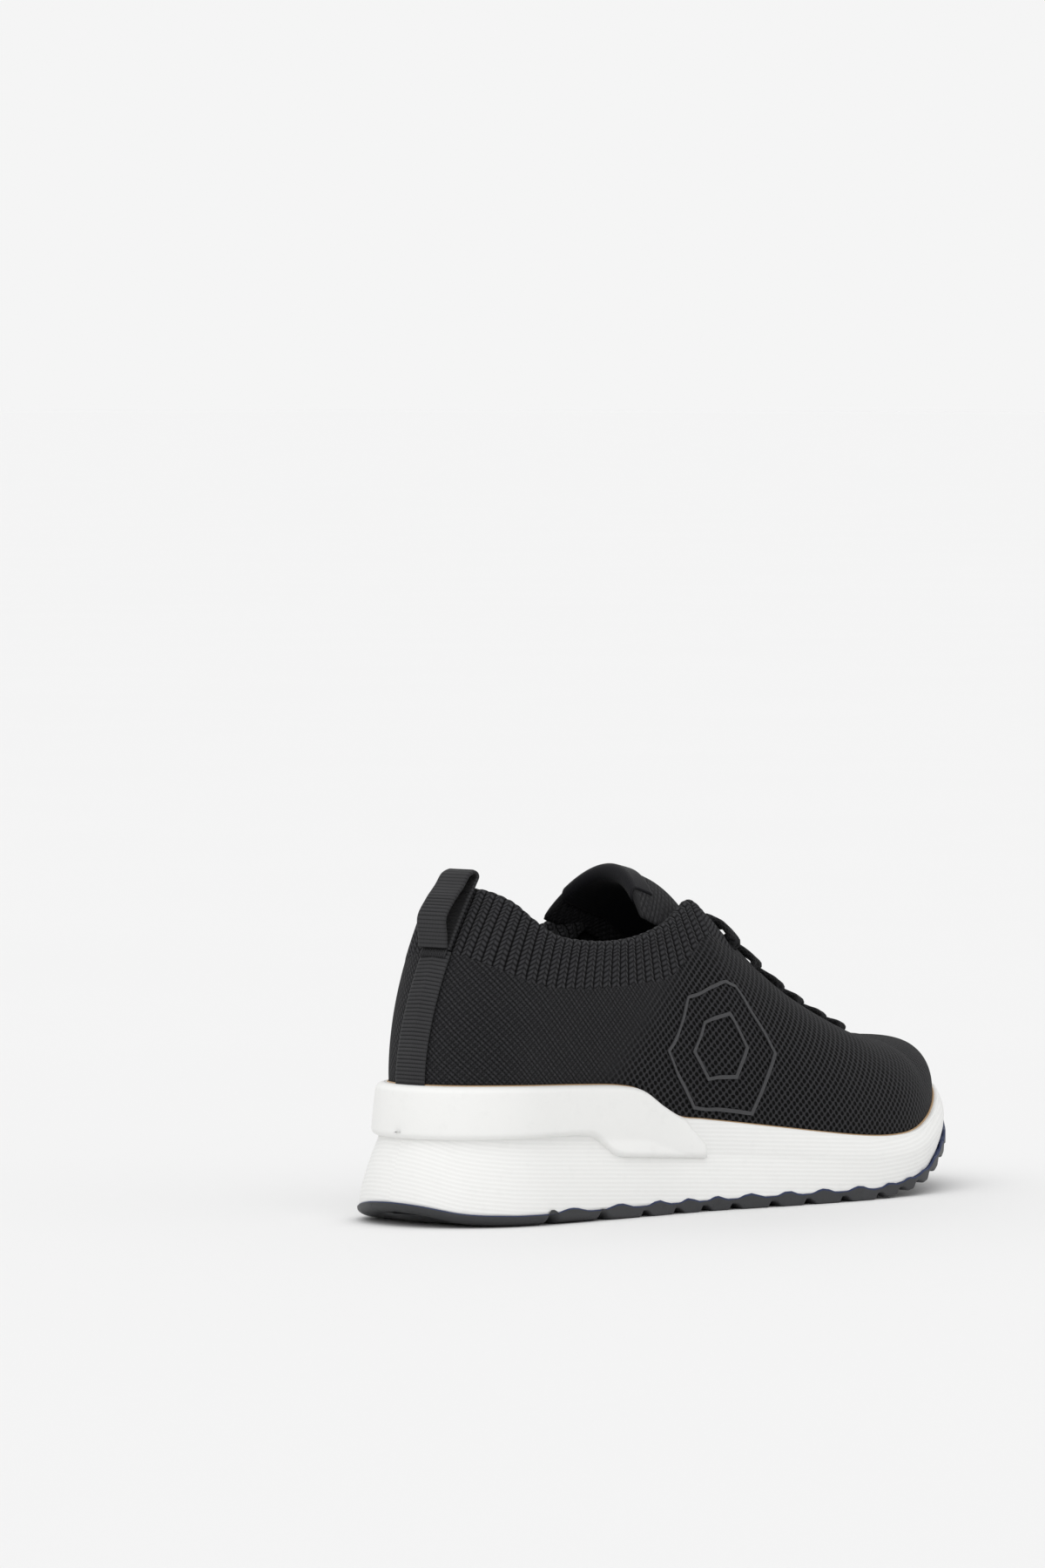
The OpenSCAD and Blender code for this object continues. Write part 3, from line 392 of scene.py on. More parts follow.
def finish_mesh(bm, name, material, closed=False):
    if closed:
        bmesh.ops.recalc_face_normals(bm, faces=bm.faces)
    mesh = bpy.data.meshes.new(name)
    bm.to_mesh(mesh)
    bm.free()
    mesh.materials.append(material)
    obj = bpy.data.objects.new(name, mesh)
    bpy.context.scene.collection.objects.link(obj)
    return obj


def thicken(obj, thickness):
    mod = obj.modifiers.new("Cloth thickness", "SOLIDIFY")
    mod.thickness = thickness * MM
    mod.offset = -1
    mod.use_rim = True


def enlist(obj, slot, *nodes, body="shoe"):
    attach(obj, body)
    if nodes:
        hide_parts(*nodes)


def finish_nodes(looks):
    """Gives the nodes that stay in view their materials."""
    for node, look in looks.items():
        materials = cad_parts[node].data.materials
        materials.clear()
        materials.append(look)


# ---- Wiring materials ----
class Web:
    """Adds nodes to a tree and joins them."""

    def __init__(self, tree):
        self.tree = tree

    def add(self, kind, *values, out=0, **props):
        node = self.tree.nodes.new(kind)
        for key, value in props.items():
            setattr(node, key, value)
        for socket, value in zip(node.inputs, values):
            self.put(socket, value)
        return node.outputs[out]

    def put(self, socket, value):
        if isinstance(value, bpy.types.NodeSocket):
            self.tree.links.new(value, socket)
        elif value is not None:
            socket.default_value = value

    def calc(self, operation, *values, clamp=False):
        return self.add("ShaderNodeMath", *values, operation=operation, use_clamp=clamp)

    plus = partialmethod(calc, "ADD")
    minus = partialmethod(calc, "SUBTRACT")
    mul = partialmethod(calc, "MULTIPLY")
    over = partialmethod(calc, "DIVIDE")
    scale_add = partialmethod(calc, "MULTIPLY_ADD")
    most = partialmethod(calc, "MAXIMUM")
    absolute = partialmethod(calc, "ABSOLUTE")
    fract = partialmethod(calc, "FRACT")
    sine = partialmethod(calc, "SINE")
    cosine = partialmethod(calc, "COSINE")

    def split(self, vector):
        node = self.tree.nodes.new("ShaderNodeSeparateXYZ")
        self.put(node.inputs[0], vector)
        return node.outputs[0], node.outputs[1], node.outputs[2]

    def noise(self, vector, scale, detail, rough=0.5):
        node = self.tree.nodes.new("ShaderNodeTexNoise")
        self.put(node.inputs["Vector"], vector)
        node.inputs["Scale"].default_value = scale
        node.inputs["Detail"].default_value = detail
        node.inputs["Roughness"].default_value = rough
        return node.outputs["Fac"]

    def step(self, value, lo, hi):
        node = self.tree.nodes.new("ShaderNodeMapRange")
        node.interpolation_type = "SMOOTHSTEP"
        self.put(node.inputs["Value"], value)
        self.put(node.inputs["From Min"], lo)
        self.put(node.inputs["From Max"], hi)
        return node.outputs["Result"]

    def blend(self, factor, a, b):
        node = self.tree.nodes.new("ShaderNodeMix")
        node.data_type = "RGBA"
        for name, value in (("Factor", factor), ("A", a), ("B", b)):
            socket = [s for s in node.inputs if s.name == name and s.enabled][0]
            self.put(socket, value)
        return [s for s in node.outputs if s.enabled][0]

    def group(self, name, **values):
        """One of the shared groups, and its outputs."""
        if name not in GROUPS:
            GROUPS[name] = GROUP_MAKERS[name]()
        node = self.tree.nodes.new("ShaderNodeGroup")
        node.node_tree = GROUPS[name]
        for name, value in values.items():
            self.put(node.inputs[name.replace("_", " ")], value)
        return node.outputs

    def uv(self):
        return self.add("ShaderNodeUVMap", uv_map=CLOTH)

    def place(self):
        """Object coordinates."""
        return self.add("ShaderNodeTexCoord", out=3)


def new_group(name, inputs, outputs):
    """A shader node group with named sockets; returns the tree, a Web, its inputs and outputs."""
    tree = bpy.data.node_groups.new(name, "ShaderNodeTree")
    for title, kind, value in inputs:
        socket = tree.interface.new_socket(title, in_out="INPUT", socket_type=kind)
        if value is not None:
            socket.default_value = value
    for title, kind in outputs:
        tree.interface.new_socket(title, in_out="OUTPUT", socket_type=kind)
    source = tree.nodes.new("NodeGroupInput").outputs
    sink = tree.nodes.new("NodeGroupOutput").inputs
    return tree, Web(tree), source, sink


FLOAT, VECTOR = "NodeSocketFloat", "NodeSocketVector"


def open_knit_group():
    """Staggered rows of small holes between yarns. Vector is in millimetres of cloth."""
    tree, w, i, o = new_group(
        "Open knit", [("Vector", VECTOR, None), ("Pitch", FLOAT, 2.9), ("Rise", FLOAT, 3.1),
                      ("Slant", FLOAT, 0.12), ("Hole", FLOAT, 0.42)],
        [("Height", FLOAT), ("Hole", FLOAT)])
    x, y, _ = w.split(i["Vector"])
    wobble = w.mul(w.minus(w.noise(i["Vector"], 0.3, 2), 0.5), 0.8)
    y = w.plus(y, w.mul(x, i["Slant"]))
    a = w.over(w.plus(x, wobble), i["Pitch"])
    b = w.over(w.plus(y, wobble), i["Rise"])
    a_turn, b_turn = w.mul(a, math.pi), w.mul(b, math.pi)
    peak = w.most(w.absolute(w.mul(w.cosine(a_turn), w.cosine(b_turn))),
                  w.absolute(w.mul(w.sine(a_turn), w.sine(b_turn))))
    edge = w.minus(1.0, i["Hole"])
    hole = w.step(peak, edge, w.plus(edge, 0.2))
    strand = w.sine(w.mul(w.plus(a, w.mul(b, 0.5)), 4 * math.pi))
    w.put(o["Height"], w.scale_add(strand, 0.06, w.minus(1.0, peak)))
    w.put(o["Hole"], hole)
    return tree


def twill_group():
    """Fine diagonal ridges broken into short floats."""
    tree, w, i, o = new_group(
        "Twill knit", [("Vector", VECTOR, None), ("Pitch", FLOAT, 1.9), ("Lean", FLOAT, 0.85)],
        [("Height", FLOAT)])
    x, y, _ = w.split(i["Vector"])
    wobble = w.mul(w.noise(i["Vector"], 0.5, 2), 0.8)
    across = w.plus(w.plus(w.mul(x, i["Lean"]), y), wobble)
    lengthwise = w.minus(w.mul(y, i["Lean"]), x)
    ridge = w.absolute(w.sine(w.mul(w.over(across, i["Pitch"]), math.pi)))
    beat = w.sine(w.mul(w.over(lengthwise, i["Pitch"]), math.tau * 0.62))
    w.put(o["Height"], w.mul(ridge, w.scale_add(beat, 0.28, 0.72)))
    return tree


def chain_group():
    """Slanted stitches in pairs, one chain along each rib. X counts ribs and Y is millimetres."""
    tree, w, i, o = new_group(
        "Rib chain", [("Vector", VECTOR, None), ("Stitch", FLOAT, 1.9)], [("Height", FLOAT)])
    x, y, _ = w.split(i["Vector"])
    off = w.absolute(w.minus(w.fract(x), 0.5))
    lean = w.plus(w.over(y, i["Stitch"]), w.mul(off, 1.7))
    stitch = w.absolute(w.sine(w.mul(lean, math.pi)))
    centre = w.step(off, 0.02, 0.12)
    w.put(o["Height"], w.mul(stitch, w.scale_add(centre, 0.5, 0.5)))
    return tree


def fuzz_group():
    """Loose fibres and uneven dye of cloth, in Object coordinates."""
    tree, w, i, o = new_group("Cloth fibres", [("Vector", VECTOR, None)],
                              [("Fine", FLOAT), ("Broad", FLOAT)])
    w.put(o["Fine"], w.noise(i["Vector"], 2600, 3, 0.7))
    w.put(o["Broad"], w.noise(i["Vector"], 45, 3, 0.55))
    return tree


def moulded_group():
    """Slight unevenness of moulded foam and rubber: pores, soft dents and dust."""
    tree, w, i, o = new_group("Moulded skin", [("Vector", VECTOR, None)],
                              [("Pores", FLOAT), ("Dents", FLOAT), ("Dust", FLOAT)])
    w.put(o["Pores"], w.noise(i["Vector"], 1500, 2, 0.6))
    w.put(o["Dents"], w.noise(i["Vector"], 60, 2, 0.5))
    w.put(o["Dust"], w.step(w.noise(i["Vector"], 190, 4, 0.65), 0.52, 0.75))
    return tree


GROUP_MAKERS = {"open": open_knit_group, "twill": twill_group, "chain": chain_group,
                "fuzz": fuzz_group, "moulded": moulded_group}
GROUPS = {}


def new_material(name, roughness, **sockets):
    mat = bpy.data.materials.new(name)
    mat.use_nodes = True
    tree = mat.node_tree
    shader = tree.nodes["Principled BSDF"]
    shader.inputs["Roughness"].default_value = roughness
    for key, value in sockets.items():
        shader.inputs[key.replace("_", " ")].default_value = value
    return mat, Web(tree), shader.inputs


def bump(web, sockets, height, distance, strength):
    node = web.tree.nodes.new("ShaderNodeBump")
    node.inputs["Strength"].default_value = strength
    node.inputs["Distance"].default_value = distance * MM
    web.put(node.inputs["Height"], height)
    web.put(sockets["Normal"], node.outputs[0])


def shade(color, factor):
    return [c * factor for c in color[:3]] + [1.0]


def knit_material(name, color, opens=False):
    """Twill knit; where opens is true it runs from twill at the heel to open mesh at the side."""
    mat, w, s = new_material(name, 0.95, Sheen_Weight=0.04, Sheen_Roughness=0.5,
                             Specular_IOR_Level=0.08)
    uv = w.uv()
    place = w.place()
    fuzz = w.group("fuzz", Vector=place)
    mesh = w.group("open", Vector=uv)
    twill = w.group("twill", Vector=uv)
    px, _, pz = w.split(place)
    if opens:
        open_mask = w.step(w.scale_add(pz, -0.75, px), -0.112, -0.082)
        toe = w.mul(w.step(px, 0.085, 0.125), 0.6)
        high = w.mul(w.step(w.scale_add(px, 0.5, pz), 0.078, 0.09), 0.35)
        open_mask = w.mul(open_mask, w.minus(1.0, w.most(toe, high)))
    else:
        open_mask = 0.12
    loops = w.group("open", Vector=uv, Pitch=1.7, Rise=1.5, Slant=0.0, Hole=0.3)
    hole = w.most(w.mul(mesh["Hole"], open_mask),
                  w.mul(loops["Hole"], w.scale_add(open_mask, -0.6, 0.6)))
    plain_part = w.mul(twill["Height"], w.minus(1.0, w.mul(open_mask, 0.95)))
    open_part = w.scale_add(mesh["Height"], 0.8, 0.3)
    height = w.scale_add(open_part, open_mask, plain_part)
    height = w.scale_add(fuzz["Fine"], 0.35, height)
    bump(w, s, height, 0.42, 0.85)
    tone = w.blend(fuzz["Broad"], shade(color, 0.82), shade(color, 1.25))
    # Painted highlight: the raised tops of the yarns are made lighter
    tone = w.blend(w.step(height, 0.6, 1.1), tone, shade(color, 1.7))
    # Painted shade: the low spots between the yarns are made darker
    tone = w.blend(w.mul(w.step(height, 0.55, 0.1), 0.85), tone, shade(color, 0.2))
    # Holes painted near black: painted shade inside the holes, over the dark lining beneath them
    w.put(s["Base Color"], w.blend(hole, tone, shade(color, 0.06)))
    return mat


def rib_material(name, color):
    """Chains of stitches along the ribs that the mesh has, with painted highlights on the stitch
    tops, painted shade between the stitches and painted shade in the gaps between the ribs.
    """
    mat, w, s = new_material(name, 0.95, Sheen_Weight=0.04, Sheen_Roughness=0.5,
                             Specular_IOR_Level=0.08)
    uv = w.uv()
    fuzz = w.group("fuzz", Vector=w.place())
    chain = w.group("chain", Vector=uv)
    x, _, _ = w.split(uv)
    gap = w.step(w.absolute(w.minus(w.fract(x), 0.5)), 0.34, 0.48)
    height = w.scale_add(fuzz["Fine"], 0.35, chain["Height"])
    bump(w, s, height, 0.38, 0.85)
    tone = w.blend(fuzz["Broad"], shade(color, 0.85), shade(color, 1.3))
    # Painted highlight: the tops of the stitches are made lighter
    tone = w.blend(w.step(chain["Height"], 0.5, 0.95), tone, shade(color, 2.0))
    # Painted shade: the low spots between the stitches are made darker
    tone = w.blend(w.mul(w.step(chain["Height"], 0.4, 0.05), 0.85), tone, shade(color, 0.15))
    # Painted shade in the valleys between the ribs
    w.put(s["Base Color"], w.blend(gap, tone, shade(color, 0.12)))
    return mat


def cloth_material(name, color, pitch, depth, sheen=0.03, roughness=0.92):
    """Plain woven cloth on the piece's own UV map."""
    mat, w, s = new_material(name, roughness, Sheen_Weight=sheen, Specular_IOR_Level=0.1)
    uv = w.uv()
    fuzz = w.group("fuzz", Vector=w.place())
    twill = w.group("twill", Vector=uv, Pitch=pitch, Lean=0.0)
    height = w.scale_add(fuzz["Fine"], 0.4, twill["Height"])
    bump(w, s, height, depth, 0.8)
    tone = w.blend(fuzz["Broad"], shade(color, 0.8), shade(color, 1.25))
    # Painted shade: the low parts of the weave are made darker
    low = w.minus(1.0, twill["Height"], clamp=True)
    w.put(s["Base Color"], w.blend(w.mul(low, 0.5), tone, shade(color, 0.4)))
    return mat


def plain_cloth_material(name, color, grain):
    """Cloth or soft foam in Object coordinates, with so many threads to a metre."""
    mat, w, s = new_material(name, 0.92, Sheen_Weight=0.03, Specular_IOR_Level=0.1)
    place = w.place()
    fuzz = w.group("fuzz", Vector=place)
    x, y, _ = w.split(place)
    weave = w.mul(w.sine(w.mul(x, grain * math.tau)), w.sine(w.mul(y, grain * math.tau)))
    bump(w, s, w.scale_add(fuzz["Fine"], 0.6, weave), 0.15, 0.7)
    w.put(s["Base Color"], w.blend(fuzz["Broad"], shade(color, 0.75), shade(color, 1.25)))
    return mat


FOAM_LINES = 1.5    # from one moulded line to the next
BRAID_WIDTH = 0.9   # of one strand of the lace
WARP_STEP = 0.62    # from one lengthwise yarn of the webbing to the next
WEFT_STEP = 1.4     # from one shaded cross rib of the webbing to the next


def foam_material(name, color, line_depth):
    """White moulded foam, with fine moulded lines and painted shade in their grooves where line_depth
    is over 0.
    """
    mat, w, s = new_material(name, 0.62, Specular_IOR_Level=0.4)
    skin = w.group("moulded", Vector=w.place())
    u, v, _ = w.split(w.uv())
    height = w.mul(skin["Pores"], 0.25)
    tone = w.blend(w.mul(skin["Dust"], 0.35), [*color[:3], 1], shade(color, 0.93))
    if line_depth:
        wave = w.step(w.sine(w.mul(w.scale_add(u, 0.06, v), math.tau / FOAM_LINES)), -0.7, 0.9)
        height = w.scale_add(wave, line_depth, height)
        # Painted shade in the grooves of the moulded lines
        tone = w.blend(w.mul(w.minus(1.0, wave), 0.16), tone, shade(color, 0.72))
    bump(w, s, w.scale_add(skin["Dents"], 0.6, height), 0.35, 0.55)
    w.put(s["Base Color"], tone)
    w.put(s["Roughness"], w.scale_add(skin["Dust"], 0.12, 0.56))
    return mat


def rubber_material(name, color, navy_rim_highlight_color):
    """Dark outsole rubber: V of the UV map is 1 at the top edge, where the rubber's navy is painted
    on only as a blue highlight along the rim.
    """
    mat, w, s = new_material(name, 0.55, Specular_IOR_Level=0.45)
    skin = w.group("moulded", Vector=w.place())
    _, v, _ = w.split(w.uv())
    # The top edge band: the rubber's navy, painted only here as the rim's blue highlight
    edge = w.step(v, 0.86, 0.97)
    scuff = w.mul(w.step(v, 0.3, 0.02), skin["Dust"])
    tone = w.blend(skin["Dents"], shade(color, 0.8), shade(color, 1.2))
    tone = w.blend(w.mul(scuff, 0.35), tone, shade(color, 1.9))
    w.put(s["Base Color"], w.blend(edge, tone, [*navy_rim_highlight_color[:3], 1]))
    bump(w, s, w.scale_add(skin["Pores"], 0.6, skin["Dents"]), 0.2, 0.5)
    w.put(s["Roughness"], w.scale_add(skin["Dust"], 0.2, 0.5))
    return mat


def lace_material(name, color):
    """Braid: two sets of strands that cross, along V and round U."""
    mat, w, s = new_material(name, 0.9, Sheen_Weight=0.04, Specular_IOR_Level=0.1)
    fuzz = w.group("fuzz", Vector=w.place())
    u, v, _ = w.split(w.uv())
    braid = w.most(w.sine(w.mul(w.plus(u, v), math.pi / BRAID_WIDTH)),
                   w.sine(w.mul(w.minus(u, v), math.pi / BRAID_WIDTH)))
    height = w.scale_add(fuzz["Fine"], 0.4, w.step(braid, -0.2, 1.0))
    bump(w, s, height, 0.35, 0.9)
    tone = w.blend(fuzz["Broad"], shade(color, 0.8), shade(color, 1.3))
    # Painted shade: the hollows between the braid's strands are made darker
    w.put(s["Base Color"], w.blend(w.step(braid, 0.4, -0.3), tone, shade(color, 0.3)))
    return mat


def hard_material(name, color, roughness, grain=0.1):
    """Smooth moulded or printed plastic, with pores of depth grain."""
    mat, w, s = new_material(name, roughness, Specular_IOR_Level=0.45)
    skin = w.group("moulded", Vector=w.place())
    w.put(s["Base Color"], w.blend(skin["Dents"], shade(color, 0.85), shade(color, 1.15)))
    w.put(s["Roughness"], w.scale_add(skin["Dust"], 0.15, roughness - 0.05))
    bump(w, s, skin["Pores"], grain, 0.5)
    return mat


def webbing_material(name, color):
    """Webbing: weft over the ribs that the mesh has, painted shade between its cross ribs, and a
    twill edge.
    """
    mat, w, s = new_material(name, 0.85, Sheen_Weight=0.04, Specular_IOR_Level=0.15)
    fuzz = w.group("fuzz", Vector=w.place())
    u, v, _ = w.split(w.uv())
    warp = w.absolute(w.sine(w.mul(u, math.pi / WARP_STEP)))
    rib = w.absolute(w.sine(w.mul(v, math.pi / WEFT_STEP)))
    height = w.scale_add(fuzz["Fine"], 0.4, w.mul(warp, 0.5))
    bump(w, s, height, 0.25, 0.8)
    tone = w.blend(fuzz["Broad"], shade(color, 0.8), shade(color, 1.35))
    # Painted shade in the valleys between the cross ribs
    w.put(s["Base Color"],
          w.blend(w.mul(w.step(rib, 0.75, 0.1), 0.75), tone, shade(color, 0.25)))
    return mat


def floor_material():
    mat, w, s = new_material("Studio floor", 0.9, Specular_IOR_Level=0.1)
    noise = w.noise(w.place(), 3.0, 2)
    w.put(s["Base Color"], w.blend(noise, [0.815] * 3 + [1], [0.825] * 3 + [1]))
    return mat


# ---- Sizes and colours a user may change ----
class ShoeSizes(bpy.types.PropertyGroup):
    rib_pitch: bpy.props.FloatProperty(
        name="Rib pitch", description="Distance from one rib of the collar to the next",
        default=0.0042, min=0.003, max=0.008, unit="LENGTH", precision=4)
    rib_height: bpy.props.FloatProperty(
        name="Rib height", description="How far the ribs of the collar stand up",
        default=0.0009, min=0.0, max=0.0015, unit="LENGTH", precision=4)
    webbing_pitch: bpy.props.FloatProperty(
        name="Webbing rib pitch", description="Distance between cross ribs of the webbing",
        default=0.0014, min=0.0008, max=0.003, unit="LENGTH", precision=4)
    line_depth: bpy.props.FloatProperty(
        name="Foam line strength", description="Strength of the fine lines moulded in the foam",
        default=0.22, min=0.0, max=1.0)
    crest_height: bpy.props.FloatProperty(
        name="Crest height", description="How far the rubber's top edge rises beside each groove",
        default=0.0015, min=0.0, max=0.003, unit="LENGTH", precision=4)
    braid_bulk: bpy.props.FloatProperty(
        name="Lace bulk", description="How many times its flat thickness the lace has on a bar",
        default=2.0, min=1.0, max=2.4)


def colour(title, words, value):
    return bpy.props.FloatVectorProperty(name=title, description=words, default=value, size=3,
                                         min=0.0, max=1.0, subtype="COLOR")


class ShoeColours(bpy.types.PropertyGroup):
    knit: colour("Knit", "Yarn of the upper", (0.0215, 0.0215, 0.023))
    rib: colour("Rib", "Yarn of the ribbed collar", (0.021, 0.021, 0.0225))
    webbing: colour("Webbing", "Heel webbing and pull loop", (0.038, 0.038, 0.04))
    wrap: colour("Tongue wrap", "Smooth panel over the tongue", (0.007, 0.007, 0.009))
    lining: colour("Lining", "Cloth inside the shoe", (0.012, 0.012, 0.013))
    lace: colour("Lace", "Braid of the lace", (0.014, 0.014, 0.015))
    foam: colour("Foam", "Midsole and heel panel", (0.86, 0.86, 0.845))
    rubber: colour("Rubber", "Outsole", (0.03, 0.031, 0.034))
    # Navy of the rubber, painted only on the top edge as a blue highlight along the rim
    rubber_navy_rim_highlight: colour("Rubber edge", "Top edge of the outsole", (0.006, 0.018, 0.075))
    glue: colour("Glue line", "Line of cement at the rim of the sole", (0.42, 0.27, 0.14))
    outline: colour("Outline", "Raised outline on the outer side", (0.04, 0.04, 0.043))


# ---- Pieces of the sole ----
def to_turn(x):
    """The turn on the outer side at place x."""
    return math.acos(max(-1.0, min(1.0, -x / HALF_L))) / (2 * math.pi)


GROOVES = [-0.69 * HALF_L + LUG_PITCH * step for step in
           (0, 1.9, 3.5, 4.72, 5.74, 6.74, 8.02, 9.2, 10.46, 11.8, 12.68, 13.42, 14.14, 14.9,
            15.7, 16.5)]
GROOVES = [g for g in GROOVES if g + GROOVE_W / 2 < 0.97 * HALF_L]


def groove_depth(x):
    """Each groove has a steep side toward the heel and a long soft one toward the toe."""
    half = GROOVE_W / 2
    deep = np.zeros_like(x)
    for g in GROOVES:
        near = x - g
        deep = np.maximum(deep, smooth(near, -half, -0.45 * half) * smooth(near, half, -0.1 * half))
    return GROOVE_DEPTH * deep


def crest(x, height):
    """The top edge rises in a soft crest just toward the toe from each groove."""
    rise = np.zeros_like(x)
    for g, after in zip(GROOVES, GROOVES[1:] + [GROOVES[-1] + LUG_PITCH]):
        gap = after - g
        turn = np.clip((x - g - 0.36 * gap) / (0.72 * gap), -0.5, 0.5)
        rise = np.maximum(rise, np.cos(np.pi * turn) * min(1.0, gap / 15))
    return height * rise**1.6


def outsole_turns():
    half = GROOVE_W / 2
    xs = [-HALF_L * math.cos(math.pi * k / 150) for k in range(151)]
    for g in GROOVES:
        xs += [g + e * half for e in (-1, -0.85, -0.72, -0.6, -0.45, -0.1, 0.2, 0.45, 0.7, 1)]
    xs = sorted(x for x in xs if -HALF_L <= x <= HALF_L)
    kept = [xs[0]]
    for x in xs[1:]:
        if x - kept[-1] > 0.12:
            kept.append(x)
    kept[-1] = HALF_L
    near = [to_turn(x) for x in kept]
    return np.array(near + [1 - t for t in near[-2::-1]])


def centre_point(t, z):
    x = 0.985 * plan(t)[..., 0]
    return np.stack([x, middle(x), np.broadcast_to(z, x.shape)], -1)


def outsole_rows(t, crest_h):
    """Rows of points from the middle of the top, over the edge, to the middle of the ground side."""
    x = plan(t)[..., 0]
    top = ground_z(x) + OUTSOLE_T
    low = ground_z(x) + groove_depth(x)
    lip = top + crest(x, crest_h)
    round_in = mix(7.0, 0.9, smooth(x, -100, -45))
    round_up = mix(3.3, 0.7, smooth(x, -100, -45))
    rows, marks = [centre_point(t, top)], [1.0]

    def put(by, z, mark):
        rows.append(raised(inset(t, by + 0 * x), z))
        marks.append(mark)
    put(1.0, top, 1.0)
    put(0.75, lip, 1.0)
    put(0.3, lip + 0.12, 1.0)
    for f in (0, 0.25, 0.5, 0.75, 1):
        put(0, mix(lip - 0.15, low + round_up, f), 0.96 - 0.6 * f)
    for f in np.arange(1, 8) / 7:
        put(round_in * (1 - cosd(90 * f)), low + round_up * (1 - sind(90 * f)), 0.36 - 0.36 * f)
    edge, mid = rows[-1], centre_point(t, low)
    rows += [mix(edge, mid, f) for f in (0.06, 0.3, 0.6, 1.0)]
    return np.array(rows), marks + [0.0] * 4


class SHOE_OT_outsole(bpy.types.Operator):
    """Lugged rubber outsole with a rounded heel edge and crests beside its grooves"""
    bl_idname = "shoe.outsole"
    bl_label = "Outsole"

    def execute(self, context):
        sizes, tones = context.scene.shoe_sizes, context.scene.shoe_colours
        turns = outsole_turns()
        rows, marks = outsole_rows(turns, sizes.crest_height / MM)
        cols, levels = len(turns) - 1, len(rows) - 1

        def place(a, b):
            return rows[nearest(1 - b, levels), nearest(a, cols)]

        def uv(a, b):
            return np.stack([np.interp(turns[nearest(a, cols)], TURNS, FOOT_ARC),
                             np.array(marks)[nearest(1 - b, levels)]], -1)
        bm = grid_mesh(cols, levels, place, uv)
        obj = finish_mesh(bm, "rubber_outsole", rubber_material("Outsole rubber", tones.rubber,
                                                                tones.rubber_navy_rim_highlight), closed=True)
        enlist(obj, "outsole_rubber", "outsole")
        return {"FINISHED"}


RIM_ROUND, BEAD_R = 0.9, 0.42  # radii of the foam's top edge and of the line of cement


def midsole_rows(t):
    x = plan(t)[..., 0]
    low, high = foam_z(x), wall_z(x)
    rows, marks = [centre_point(t, low)], [-8.0]
    for f in np.linspace(0, 1, 45):
        z = mix(low, high - RIM_ROUND, f)
        rows.append(wall_at(t, z))
        marks.append(z - low)
    outer = wall_at(t, high - RIM_ROUND)
    lip = inset(t, top_inset(x) + RIM_W - GLUE)
    way = raised(unit(lip - outer[..., :2]), 0)
    for turn in (22.5, 45, 67.5, 90):
        rows.append(outer + RIM_ROUND * ((1 - cosd(turn)) * way + [0, 0, sind(turn)]))
        marks.append(high - low + turn / 60)
    bed = bed_z(lip[..., 0])
    rows += [raised(lip, high), raised(lip, bed), centre_point(t, bed)]
    marks += [high - low + 2, high - low + 4, high - low + 20]
    return np.array(rows), marks


class SHOE_OT_midsole(bpy.types.Operator):
    """Foam midsole with its fine moulded lines, and the line of cement at its rim"""
    bl_idname = "shoe.midsole"
    bl_label = "Midsole"

    def execute(self, context):
        sizes, tones = context.scene.shoe_sizes, context.scene.shoe_colours
        cols = 480
        turns = np.linspace(0, 1, cols + 1)
        rows, marks = midsole_rows(turns)
        heights = np.array([np.broadcast_to(m, turns.shape) for m in marks])
        levels = len(rows) - 1

        def place(a, b):
            return rows[nearest(b, levels), nearest(a, cols)]

        def uv(a, b):
            i, j = nearest(a, cols), nearest(b, levels)
            return np.stack([np.interp(turns[i], TURNS, FOOT_ARC), heights[j, i]], -1)
        obj = finish_mesh(grid_mesh(cols, levels, place, uv), "foam_midsole",
                          foam_material("Midsole foam", tones.foam, sizes.line_depth), closed=True)
        enlist(obj, "midsole_foam", "midsole")

        def bead(a, b):
            out = 0.25 + BEAD_R * cosd(360 * b)
            return (foot_edge(a, rim_z(a) - 0.45)
                    + raised(out[..., None] * plan_normal(a), BEAD_R * sind(360 * b)))
        glue = finish_mesh(grid_mesh(400, 8, bead), "rim_glue_line",
                           hard_material("Cement line", tones.glue, 0.6), closed=True)
        enlist(glue, "midsole_foam")
        return {"FINISHED"}


PANEL_LOW = [[-145, 30.6], [-80, 30.3], [-73.5, 29.8], [-70, 28.4], [-63.5, 22.8], [-59.5, 21.6],
             [-40, 20.3], [-17, 18.7]]
PANEL_FRONT = [[17, -18.5], [19.2, -17], [23.5, -17], [26, -19], [34, -25], [60, -25]]


def panel_point(a, b, out):
    """The raised heel panel: a from end to end round the heel, b up it."""
    side = np.sign(a - 0.5)
    share = np.abs(2 * a - 1)
    share = np.sin(share * np.pi / 2) * 0.35 + share * 0.65
    up = 0.5 - 0.5 * np.cos(np.pi * b)
    z = mix(20.0, 30.0, up)
    for _ in range(6):
        end = np.vectorize(to_turn)(curve(PANEL_FRONT, z))
        t = end * share
        x = plan(np.where(side < 0, 1 - t, t))[..., 0]
        low = np.interp(x, *np.array(PANEL_LOW).T)
        high = wall_z(x)
        z = mix(low, high, up)
    rim = np.minimum(z - low, high - z)
    front = np.linalg.norm(plan(end) - plan(t), axis=-1)
    edge = np.clip(np.minimum(rim, front) / 2.3, 0, 1)
    rise = -0.5 + (PANEL_T + 0.5) * np.sqrt(1 - (1 - edge) ** 2)
    turn = np.where(side < 0, t, 1 - t)
    return wall_at(turn, z, rise + out)


